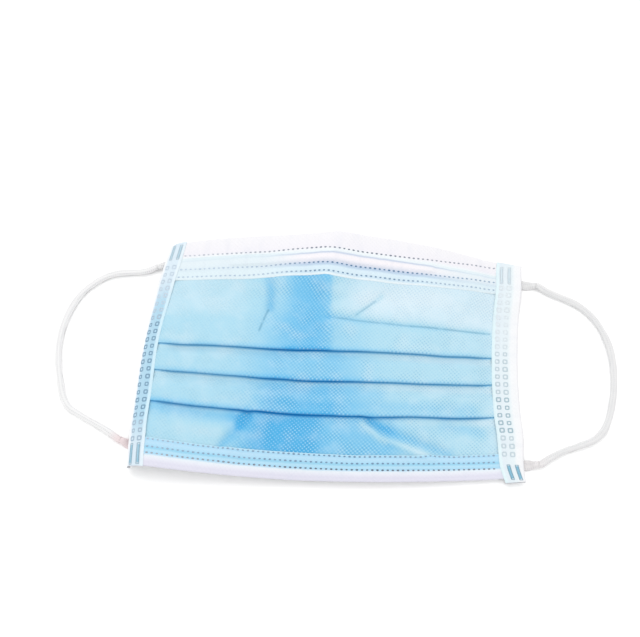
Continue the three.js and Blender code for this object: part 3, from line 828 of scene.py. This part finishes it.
outerSheet, innerSheet = makeSheets()
topHem = makeHem("top_hem_cloth", "topHemEdge", "topEdge", 1)
bottomHem = makeHem("bottom_hem_cloth", "bottomHemEdge", "bottomEdge", -1)
wire = makeNoseWire()
tapeLeft = makeTape("tape_left", "left")
tapeRight = makeTape("tape_right", "right")
tabs = {}
for side, loop in (("left", leftLoop), ("right", rightLoop)):
    for end in ("top", "bottom"):
        tabs[f"loop_tab_{side}_{end}"] = makeTab(f"loop_end_{side}_{end}", loop, f"{end}Tab", side)
print("cloth pieces made")

# Weld marks: rings and bars on the tapes, dots along the hems

markSizes = (0.86, 1.08)           # the marks' random sizes
# Faintness of the rings, a painted highlight that washes them out on the brighter parts of the tapes: height on the
# mask in millimetres, then from 0, strong, to 1
tapeWeld = {
    "pitch": 3.6, "ring": {"left": 1.6, "right": 1.7}, "line": 0.6, "round": 0.3, "height": 0.14, "sides": 6,
    "rows": (2.5, 6.1), "endGap": 11.8, "samples": 60, "seed": 3, "faint": {
        "left": [(-50, 0.5), (-36, 0.5), (-30, 0.0), (10, 0.0), (16, 0.7), (24, 0.95), (60, 1.0)],
        "right": [(-50, 0.5), (-34, 0.5), (-29, 0.0), (-16, 0.0), (-12, 0.4), (6, 0.45), (12, 0.9), (60, 0.95)]},
}
# Two bars at each end of a tape: distance from that end, length, faintness, a painted highlight as on the rings, and
# shift away from the inner edge
barWeld = {
    "width": 1.25, "line": 0.36, "fill": 0.95, "sink": 0.2, "sides": 8, "samples": 14, "places": {
        "left": {"top": (0.6, 7.2, 0.5, -0.5), "bottom": (0.4, 9.2, 0.2, 0.0)},
        "right": {"top": (1.2, 8.4, 0.85, 0.0), "bottom": (0.7, 6.4, 0.0, 1.1)}},
}
hemWeld = {"pitch": 2.2, "length": 1.15, "width": 0.75, "height": 0.1, "sides": 8, "clear": 1.2, "samples": 160,
           "seed": 7}


# An object of lines with a normal and a faintness at every point, from which the marks grow
def lineObject(name, lines):
    vertices, edges, normals, faints = [], [], [], []
    for points, directions, faint, closed in lines:
        first = len(vertices)
        edges += [(first + i, first + i + 1) for i in range(len(points) - 1)]
        edges += [(first + len(points) - 1, first)] if closed else []
        vertices += list(points)
        normals += list(directions)
        faints += list(faint)
    thing = meshObject(name, vertices, [], None, edges)
    layer = thing.data.attributes.new("facing", "FLOAT_VECTOR", "POINT")
    layer.data.foreach_set("vector", np.array(normals, dtype=np.float32).ravel())
    writeAttribute(thing, "faint", faints)
    return thing


def onTape(side, fromInner, ys, face, lift=0.0):
    spot = surfaceFrame(tapeAcross(side, fromInner, ys), ys)
    return spot["point"] + spot["normal"] * face * (tapeReach + lift), spot["normal"] * face


def ringLines(side):
    top, bottom = tapeEnds(side)
    ys = np.linspace(top - tapeWeld["endGap"], bottom + tapeWeld["endGap"], tapeWeld["samples"])
    faint = throughTable(tapeWeld["faint"][side], ys)
    return [(*onTape(side, place, ys, face), faint, False) for face in (1, -1) for place in tapeWeld["rows"]]


def barLines(side, fill):
    lines = []
    top, bottom = tapeEnds(side)
    for face in (1, -1):
        for place in tapeWeld["rows"]:
            for corner, (fromEnd, length, faintness, shift) in barWeld["places"][side].items():
                start = top - fromEnd if corner == "top" else bottom + fromEnd + length
                ys = np.linspace(start, start - length, barWeld["samples"])
                if fill:
                    points, normals = onTape(side, place + shift, ys[1:-1], face, -barWeld["sink"])
                else:
                    edges = [onTape(side, place + shift + way * barWeld["width"] / 2, ys, face) for way in (-1, 1)]
                    points, normals = (np.concatenate([near, far[::-1]]) for near, far in zip(*edges))
                lines.append((points, normals, np.full(len(points), faintness), not fill))
    return lines


def hemLines(name, strength):
    clear = [acrossAtDistance(side, form["tapeWidth"] - tapeReach + hemWeld["clear"], lineAt(name, edge))
             for side, edge in (("left", 0.0), ("right", 1.0))]
    across = np.linspace(*clear, hemWeld["samples"])
    y = lineAt(name, across)
    spot = surfaceFrame(across, y)
    reach = (hemReach + wireBulge(across, y))[:, None]
    faint = 1 - throughTable(strength, spot["point"][:, 0])
    return [(spot["point"] + spot["normal"] * face * reach, spot["normal"] * face, faint, False) for face in (1, -1)]


markInputs = {name: "NodeSocketFloat" for name in ("Pitch", "Length", "Width", "Height")}
markInputs.update({"Seed": "NodeSocketInt", "Material": "NodeSocketMaterial"})


def marksAlong(maker, shape):
    curve = maker.node("GeometryNodeMeshToCurve", None, maker.entry["Geometry"])
    spaced = maker.node("GeometryNodeResampleCurve", {"mode": "LENGTH"}, curve, Length=maker.entry["Pitch"])
    facing = maker.node("GeometryNodeInputNamedAttribute", {"data_type": "FLOAT_VECTOR"}, "facing")
    turn = maker.node("FunctionNodeAxesToRotation", {"primary_axis": "Z", "secondary_axis": "X"}, facing,
                      maker.node("GeometryNodeInputTangent"))
    size = maker.node("FunctionNodeRandomValue", {"data_type": "FLOAT"}, Seed=maker.entry["Seed"])
    for socket, value in zip(size.inputs[2:4], markSizes):
        maker.put(socket, value)
    maker.close(maker.node("GeometryNodeInstanceOnPoints", None, spaced, Instance=shape, Rotation=turn,
                           Scale=size.outputs[1]))


# The round section of a raised line
def lineProfile(maker, sides):
    return maker.node("GeometryNodeCurvePrimitiveCircle", {"mode": "RADIUS"}, sides, Radius=maker.size("Line") / 2)


def ringTree():
    maker = GeometryTree("weld_rings", {**markInputs, "Line": "NodeSocketFloat"})
    square = maker.node("GeometryNodeCurvePrimitiveQuadrilateral", {"mode": "RECTANGLE"}, maker.entry["Length"],
                        maker.entry["Width"])
    rounded = maker.node("GeometryNodeFilletCurve", {"mode": "POLY"}, square, 2, Radius=tapeWeld["round"] * mm)
    flat = maker.node("ShaderNodeCombineXYZ", None, 1.0, 1.0, maker.size("Height") / maker.size("Line"))
    tube = maker.node("GeometryNodeCurveToMesh", None, rounded, lineProfile(maker, tapeWeld["sides"]))
    marksAlong(maker, maker.node("GeometryNodeTransform", None, tube, Scale=flat))
    return maker


def dotTree():
    maker = GeometryTree("weld_dots", markInputs)
    pad = maker.node("GeometryNodeMeshCylinder", None, hemWeld["sides"], Radius=0.5, Depth=1.0)
    size = maker.node("ShaderNodeCombineXYZ", None, maker.entry["Length"], maker.entry["Width"],
                      maker.entry["Height"])
    marksAlong(maker, maker.node("GeometryNodeTransform", None, pad, Scale=size))
    return maker


def barTree():
    maker = GeometryTree("weld_bars", {"Line": "NodeSocketFloat", "Material": "NodeSocketMaterial"})
    curve = maker.node("GeometryNodeMeshToCurve", None, maker.entry["Geometry"])
    maker.close(maker.node("GeometryNodeCurveToMesh", None, curve, lineProfile(maker, barWeld["sides"]),
                           Fill_Caps=True))
    return maker


# Studio and materials: colours are given as they look under this light on cloth that lies flat
studio = {"floor": 8.0, "floorColour": (0.97, 0.97, 0.97, 1.0), "floorRoughness": 0.9, "floorSpecular": 0.1,
          "worldStrength": 1.2, "keyWatts": 2.4, "keySize": 0.7, "keyPlace": (-0.15, 0.52, 1.0), "clothGain": 1.33}
black, white = (0.0, 0.0, 0.0, 1.0), (1.0, 1.0, 1.0, 1.0)
# Shared by all the cloth
clothSheen = {"Sheen_Weight": 0.12, "Sheen_Roughness": 0.5}


# The colour of a cloth that shows these sRGB values in the render
def seen(red, green, blue):
    def albedo(value):
        value /= 255
        light = value / 12.92 if value <= 0.04045 else ((value + 0.055) / 1.055) ** 2.4
        return min(light / studio["clothGain"], 1.0)
    return (albedo(red), albedo(green), albedo(blue), 1.0)


# Rows of a place and the colour seen there
def tones(*rows):
    return [(place, seen(*colour)) for place, *colour in rows]


# The pressed points of spunbond cloth stand where slanted rows cross, in the cloth's own lengths:
# how each row slants, and how high the crossing waves have to be for a raised point and for a valley
emboss = {"first": (0.62, 0.78), "second": (0.74, -0.67), "point": (0.7, 1.9), "valley": (-0.6, -1.8),
          "patchSize": 8.0, "patchSpan": (0.36, 0.62)}


def embossing(shader, pitch):
    u, v = shader.uv()
    first, second = (((u * emboss[row][0] + v * emboss[row][1]) * (2 * math.pi / (apart * mm))).sine()
                     for row, apart in zip(("first", "second"), pitch))
    lattice = first + second
    return lattice, lattice.between(*emboss["point"]), lattice.between(*emboss["valley"])


# Patches where the embossing is strong
def strongPatches(shader):
    return shader.noise(shader.place(), emboss["patchSize"]).between(*emboss["patchSpan"])


# Painted shade along thin creases in the cloth: two points in millimetres, how far they reach and how dark the shade
# looks
creaseShades = [
    {"from": (-30.9, 19), "to": (-34.3, 8.5), "reach": 0.85, "depth": 0.6},
    {"from": (-1, 15.6), "to": (34, 14.9), "reach": 0.8, "depth": 0.4},
    {"from": (34, 14.9), "to": (71, 16.4), "reach": 0.8, "depth": 0.5},
    {"from": (17.5, 25.5), "to": (9, 18), "reach": 0.7, "depth": 0.4},
]
# Sizes in millimetres, shares, and pairs of a slope and a start: byPatch, byTint, byCheek, lipByTint, roughness
blueCloth = {
    "pitch": (1.2, 1.3), "mottleSize": 9.0, "mottleSpan": (0.42, 0.78), "mottle": 0.24, "grainSize": 0.8,
    "grain": 0.2, "points": 0.58, "valleys": 0.6, "byPatch": (0.6, 0.4), "byTint": (0.7, 0.4),
    "byCheek": (0.7, 0.3), "cheekSpan": (-52, -16),                    # the left cheek is the smoothest
    "breakSize": 2.2, "breakSpan": (0.2, 0.5), "lipByTint": (1.2, 0.1), "roughness": (-0.14, 0.72), "specular": 0.3,
    "bump": {"lattice": 0.4, "grain": 0.3, "mottle": 0.9}, "depth": 0.1,
    "tints": tones((0.0, 222, 241, 251), (0.17, 200, 232, 246), (0.33, 179, 224, 242), (0.58, 150, 211, 241),
                   (0.8, 120, 199, 240), (1.0, 70, 178, 234)),
    "mottleColour": seen(232, 246, 252), "pointColour": seen(214, 242, 252), "valleyColour": seen(70, 160, 216),
    # the lip colour is the painted shadow in the gap under each lip
    "creaseShadeColour": seen(96, 158, 190), "lipShadowColour": seen(0, 118, 188),
    # painted glow: an emission that stands in for light through the folds
    "lipPaintedGlow": ((0.04, 0.14, 0.14, 1.0), (0.0, 0.05, 0.12, 1.0)),     # light through the folds, pale and deep cloth
}


def blueClothMaterial(settings):
    shader = Shader("blue_spunbond")
    place = shader.place()
    lattice, points, valleys = embossing(shader, settings["pitch"])
    patches = strongPatches(shader)
    tint, lip = shader.attribute("tint"), shader.attribute("lipLine")
    mottle = shader.noise(place, settings["mottleSize"], 4.0)
    grain = shader.noise(place, settings["grainSize"])
    # blue by its depth, with the painted shade and painted light that the depth carries
    base = shader.ramp(tint + (grain - 0.5) * settings["grain"], settings["tints"])
    colour = shader.blend(mottle.between(*settings["mottleSpan"]) * settings["mottle"], base,
                          settings["mottleColour"])
    cheek = shader.along(place, 0).between(*(x * mm for x in settings["cheekSpan"]))
    strength = (patches.scaled(*settings["byPatch"]) * tint.scaled(*settings["byTint"])
                * cheek.scaled(*settings["byCheek"]))
    colour = shader.blend(points * strength * settings["points"], colour, settings["pointColour"])
    colour = shader.blend(valleys * strength * settings["valleys"], colour, settings["valleyColour"])
    broken = shader.noise(place, settings["breakSize"]).between(*settings["breakSpan"])
    # painted shade along the creases
    for crease in creaseShades:
        line = shader.onLine(place, crease["from"], crease["to"], crease["reach"])
        colour = shader.blend(line * broken * crease["depth"], colour, settings["creaseShadeColour"])
    # painted shadow of the dark line under each lip
    colour = shader.blend(lip * tint.scaled(*settings["lipByTint"]), colour, settings["lipShadowColour"])
    # painted glow in the lip's shadow, an emission where no lamp is
    glow = shader.blend(lip, black, shader.blend(tint, *settings["lipPaintedGlow"]))
    shader.set(Base_Color=colour, Emission_Color=glow, Emission_Strength=1.0, Specular_IOR_Level=settings["specular"],
               Roughness=points.scaled(*settings["roughness"]), **clothSheen)
    bump = settings["bump"]
    shader.bump(lattice * patches * bump["lattice"] + grain * bump["grain"] + mottle * bump["mottle"],
                settings["depth"])
    return shader.material


whiteCloth = {
    "pitch": (1.3, 1.4), "colour": seen(240, 243, 250), "shade": seen(226, 230, 243), "shadeSize": 7.0,
    "shadeSpan": (0.4, 0.7), "valleys": 0.4, "valleyColour": seen(206, 214, 230), "roughness": (-0.1, 0.78),
    "specular": 0.3, "bump": {"lattice": 0.4, "shade": 0.6}, "depth": 0.1,
}


def whiteClothMaterial(settings):
    shader = Shader("white_spunbond")
    lattice, points, valleys = embossing(shader, settings["pitch"])
    shade = shader.noise(shader.place(), settings["shadeSize"], 3.0)
    base = shader.blend(shade.between(*settings["shadeSpan"]), settings["colour"], settings["shade"])
    shader.set(Base_Color=shader.blend(valleys * settings["valleys"], base, settings["valleyColour"]),
               Roughness=points.scaled(*settings["roughness"]), Specular_IOR_Level=settings["specular"], **clothSheen)
    shader.bump(shade * settings["bump"]["shade"] + lattice * settings["bump"]["lattice"], settings["depth"])
    return shader.material


# Each strip's bands of colour by the distance from its free edge, and its fades: two places along the strip and
# a share, by which the bands nearer to the edge than "below" turn towards another tone. All in millimetres
stripLooks = {
    "top_hem": {
        # the dark bands at 4.9 and 10.2 mm hold painted shade on either side of the ridge over the wire, the pale
        # band at 8.4 mm a painted highlight on it
        "reach": 20.0, "pucker": (1.0, 0.25, 1.0), "bands": tones(
            (0.0, 238, 249, 254), (0.7, 236, 249, 254), (1.3, 208, 232, 247), (2.4, 220, 240, 250),
            (3.8, 222, 241, 252), (4.9, 188, 211, 234), (5.6, 204, 217, 237), (6.7, 236, 238, 248),
            (8.4, 252, 247, 251), (9.5, 248, 246, 251), (10.2, 196, 208, 230), (10.8, 240, 248, 252),
            (12.0, 244, 250, 253), (13.5, 246, 244, 250), (20.0, 249, 248, 251)),
        "fades": [(44, 72, 0.85), (150, 118, 0.7)], "below": 11.6, "towards": seen(228, 243, 249)},
    "bottom_hem": {
        "reach": 15.0, "pucker": (1.0, 0.25, 1.0), "bands": tones(
            (0.0, 200, 238, 253), (0.9, 172, 221, 248), (2.0, 190, 229, 252), (3.4, 180, 226, 250),
            (4.3, 154, 214, 242), (5.4, 188, 231, 252), (6.6, 172, 221, 247), (7.6, 238, 246, 253),
            (8.6, 238, 240, 250), (10.0, 229, 228, 243), (12.2, 231, 230, 244), (13.2, 242, 243, 250),
            (15.0, 240, 240, 248))},
    "left_tape": {
        # the bands from 8.2 mm on are brighter than white: painted light that lifts the shade of the curled tape
        "reach": 14.0, "pucker": (0.25, 1.0, 1.0), "bands": tones(
            (0.0, 214, 243, 255), (1.0, 216, 243, 255), (1.9, 178, 219, 240), (7.0, 186, 223, 243),
            (8.2, 250, 255, 262), (9.4, 268, 268, 270), (12.5, 262, 262, 264), (14.0, 250, 251, 253)),
        "fades": [(16, 34, 0.6), (102, 84, 0.6)], "below": 14.0, "towards": seen(246, 250, 255)},
    "right_tape": {
        "reach": 14.0, "pucker": (0.25, 1.0, 1.0), "bands": tones(
            # paler than the left tape, a painted highlight on the same cloth; the band at 12 mm is a painted shadow
            # along the fold
            (0.0, 230, 249, 254), (1.0, 232, 250, 254), (1.9, 231, 242, 249), (7.2, 236, 246, 250),
            (8.6, 249, 251, 253), (11.0, 250, 250, 252), (12.0, 236, 237, 240), (14.0, 240, 240, 243))},
}
stripCloth = {
    "puckerSize": 3.4, "puckerSpan": (0.45, 0.8), "puckers": 0.14, "puckerColour": seen(206, 214, 232),
    "softSize": 5.0, "waver": 0.03, "fadeEdge": 0.4, "valleys": 0.07, "valleyColour": seen(190, 206, 228),
    "roughness": (-0.1, 0.74), "specular": 0.32, "bump": {"pucker": 2.0, "lattice": 0.16}, "depth": 0.12,
}


def stripMaterial(name, looks, settings):
    shader = Shader(name)
    u, v = shader.uv()
    reach = looks["reach"]
    lattice, points, valleys = embossing(shader, whiteCloth["pitch"])
    puckers = shader.noise(shader.place(looks["pucker"]), settings["puckerSize"], 3.0)
    soft = shader.noise(shader.place(), settings["softSize"])
    colour = shader.ramp(v / (reach * mm) + (soft - 0.5) * settings["waver"],
                         [(at / reach, tone) for at, tone in looks["bands"]])
    for outside, inside, share in looks.get("fades", ()):
        below = v.between((looks["below"] + settings["fadeEdge"]) * mm, looks["below"] * mm)
        faded = (1 - u.between(outside * mm, inside * mm)) * below
        colour = shader.blend(faded * share, colour, looks["towards"])
    colour = shader.blend(puckers.between(*settings["puckerSpan"]) * settings["puckers"], colour,
                          settings["puckerColour"])
    colour = shader.blend(valleys * strongPatches(shader) * settings["valleys"], colour, settings["valleyColour"])
    shader.set(Base_Color=colour, Roughness=points.scaled(*settings["roughness"]),
               Specular_IOR_Level=settings["specular"], **clothSheen)
    bump = settings["bump"]
    shader.bump(puckers * bump["pucker"] + lattice * bump["lattice"] + soft, settings["depth"])
    return shader.material


# Each weld's strong and pale colour; the right tape's welds are paler than the left tape's, a painted highlight on
# the same welds
weldTones = {
    "left_weld": ((124, 162, 190), (206, 222, 236)), "right_weld": ((164, 192, 204), (234, 242, 247)),
    "bar_edge": ((128, 172, 192), (226, 234, 240)), "bar_fill": ((138, 196, 222), (228, 240, 246)),
    "hem_dot": ((100, 112, 132), (226, 230, 240)), "hem_dot_blue": ((72, 122, 164), (208, 226, 244)),
}
weldFinish = {"grainSize": 1.1, "uneven": 0.3, "roughness": (0.2, 0.42), "specular": 0.4, "depth": 0.05}


def weldMaterial(name, settings):
    shader = Shader(name)
    grain = shader.noise(shader.place(), settings["grainSize"])
    faint = shader.attribute("faint") + (grain - 0.5) * settings["uneven"]
    shader.set(Base_Color=shader.blend(faint, *(seen(*tone) for tone in weldTones[name])),
               Roughness=grain.scaled(*settings["roughness"]), Specular_IOR_Level=settings["specular"])
    shader.bump(grain, settings["depth"])
    return shader.material


elastic = {
    # the right loop's colour is darker than the left's: painted shade, a shaded copy of the same elastic
    "left": seen(250, 250, 250), "right": seen(240, 240, 240), "valley": seen(222, 222, 225),
    "blush": seen(244, 220, 222), "blushShare": 0.7, "ribPitch": 0.95, "slant": 0.35, "grooves": 1.57,
    "fuzzSize": 0.7, "knitSpan": (0.1, 1.0), "roughness": (-0.08, 0.85), "sheen": 0.3, "sheenRoughness": 0.5,
    "specular": 0.25, "bump": {"ribs": 0.7, "grooves": 0.8, "fuzz": 0.5}, "depth": 0.1,
}


def elasticMaterial(side, settings):
    shader = Shader(f"knitted_elastic_{side}")
    u, v = shader.uv()
    ribs, grooves = ((place * (2 * math.pi / (settings[pitch] * mm))).sine().scaled(0.5, 0.5)
                     for place, pitch in ((u + v * settings["slant"], "ribPitch"), (v, "grooves")))
    fuzz = shader.noise(shader.place(), settings["fuzzSize"], 3.0)
    bump = settings["bump"]
    height = ribs * bump["ribs"] + grooves * bump["grooves"] + fuzz * bump["fuzz"]
    knit = shader.blend(height.between(*settings["knitSpan"]), settings["valley"], settings[side])
    blushed = shader.blend(shader.attribute("blush") * settings["blushShare"], knit, settings["blush"])
    shader.set(Base_Color=blushed, Roughness=ribs.scaled(*settings["roughness"]), Sheen_Weight=settings["sheen"],
               Sheen_Roughness=settings["sheenRoughness"], Specular_IOR_Level=settings["specular"])
    shader.bump(height, settings["depth"])
    return shader.material


wireCoat = {"streaks": (0.05, 1.0, 1.0), "streakSize": 0.6, "shade": seen(236, 238, 242),
            "colour": seen(250, 250, 252), "roughness": (0.15, 0.4), "depth": 0.04}


def wireMaterial(settings):
    shader = Shader("coated_wire")
    streaks = shader.noise(shader.place(settings["streaks"]), settings["streakSize"])
    shader.set(Base_Color=shader.blend(streaks, settings["shade"], settings["colour"]),
               Roughness=streaks.scaled(*settings["roughness"]))
    shader.bump(streaks, settings["depth"])
    return shader.material


outerSheet.data.materials.append(blueClothMaterial(blueCloth))
innerSheet.data.materials.append(whiteClothMaterial(whiteCloth))
for thing, look in ((topHem, "top_hem"), (bottomHem, "bottom_hem"), (tapeLeft, "left_tape"),
                    (tapeRight, "right_tape")):
    thing.data.materials.append(stripMaterial(look, stripLooks[look], stripCloth))
for side, loop in (("left", loopLeft), ("right", loopRight)):
    elasticFinish = elasticMaterial(side, elastic)
    for thing in (loop, tabs[f"loop_tab_{side}_top"], tabs[f"loop_tab_{side}_bottom"]):
        thing.data.materials.append(elasticFinish)
wire.data.materials.append(wireMaterial(wireCoat))
weldMaterials = {name: weldMaterial(name, weldFinish) for name in weldTones}
print("materials made")

# The marks grow once their materials are there

marks = []
rings, dots, bars = ringTree(), dotTree(), barTree()


def growMarks(name, lines, maker, sizes, finish, **others):
    values = {label: size * mm for label, size in sizes.items()}
    values.update(others, Material=weldMaterials[finish])
    marks.append(growMesh(name, lineObject("lines", lines), maker, values))


for side, ring in tapeWeld["ring"].items():
    growMarks(f"weld_rings_{side}", ringLines(side), rings, {
        "Pitch": tapeWeld["pitch"], "Length": ring, "Width": ring, "Line": tapeWeld["line"],
        "Height": tapeWeld["height"]}, f"{side}_weld", Seed=tapeWeld["seed"])
for name, fill, line, finish in (("weld_bar_edges", False, barWeld["line"], "bar_edge"),
                                 ("weld_bar_fills", True, barWeld["fill"], "bar_fill")):
    growMarks(name, barLines("left", fill) + barLines("right", fill), bars, {"Line": line}, finish)

# How strongly each dotted line shows: places across in millimetres, strength
dotLines = {
    "weldTop1": ("hem_dot", [(-80, 0.1), (-50, 0.35), (-10, 0.8), (10, 0.9), (50, 0.6), (85, 0.4)]),
    "weldTop2": ("hem_dot_blue", [(-80, 0.05), (-40, 0.2), (-10, 0.85), (20, 1.0), (50, 0.6), (85, 0.35)]),
    "weldTop3": ("hem_dot_blue", [(-80, 0.1), (-35, 0.2), (-8, 0.75), (25, 0.7), (50, 0.35), (85, 0.3)]),
    "weldBottom1": ("hem_dot_blue", [(-80, 0.3), (-40, 0.55), (0, 0.75), (40, 0.6), (85, 0.5)]),
    "weldBottom2": ("hem_dot_blue", [(-80, 0.45), (-40, 0.6), (0, 0.75), (40, 0.7), (85, 0.5)]),
    "weldBottom3": ("hem_dot", [(-80, 0.5), (-40, 0.75), (0, 1.0), (40, 0.9), (85, 0.7)]),
}
for name, (finish, strength) in dotLines.items():
    growMarks(f"dots_{name}", hemLines(name, strength), dots, {
        "Pitch": hemWeld["pitch"], "Length": hemWeld["length"], "Width": hemWeld["width"],
        "Height": hemWeld["height"]}, finish, Seed=hemWeld["seed"])
print("weld marks grown:", sum(len(mark.data.polygons) for mark in marks), "faces")


# Studio

def makeStudio():
    half = studio["floor"] / 2
    mesh = bpy.data.meshes.new("floor")
    mesh.from_pydata([(-half, -half, 0), (half, -half, 0), (half, half, 0), (-half, half, 0)], [], [(0, 1, 2, 3)])
    floor = bpy.data.objects.new("floor", mesh)
    bpy.context.scene.collection.objects.link(floor)
    shader = Shader("floor_paint")
    shader.set(Base_Color=studio["floorColour"], Roughness=studio["floorRoughness"],
               Specular_IOR_Level=studio["floorSpecular"])
    mesh.materials.append(shader.material)
    world = bpy.data.worlds.new("studio")
    world.use_nodes = True
    background = world.node_tree.nodes["Background"]
    background.inputs["Color"].default_value = white
    background.inputs["Strength"].default_value = studio["worldStrength"]
    bpy.context.scene.world = world
    bpy.context.scene.view_settings.view_transform = "Standard"
    lamp = bpy.data.lights.new("key", "AREA")
    lamp.shape, lamp.size, lamp.energy = "DISK", studio["keySize"], studio["keyWatts"]
    key = bpy.data.objects.new("key", lamp)
    key.location = studio["keyPlace"]
    key.rotation_euler = (-Vector(studio["keyPlace"])).to_track_quat("-Z", "Y").to_euler()
    bpy.context.scene.collection.objects.link(key)


makeStudio()
print("studio ready")

# Who rides on what

pieces = {
    outerSheet: ("pleated_body", "blue_nonwoven"), innerSheet: ("pleated_body", "white_nonwoven"),
    topHem: ("top_hem", "white_nonwoven"), bottomHem: ("bottom_hem", "white_nonwoven"),
    tapeLeft: ("side_tape_left", "white_nonwoven"), tapeRight: ("side_tape_right", "white_nonwoven"),
    loopLeft: ("ear_loop_left", "elastic"), loopRight: ("ear_loop_right", "elastic"),
    wire: ("nose_wire", "wire"),
}
pieces.update({thing: (node, "elastic") for node, thing in tabs.items()})
for thing, (node, slot) in pieces.items():
    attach(thing, "root")
    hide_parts(node)
for mark in marks:
    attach(mark, "root")

for thing, path in ((loopLeft, pathLeft), (loopRight, pathRight)):
    places = (path + frameShift) * mm
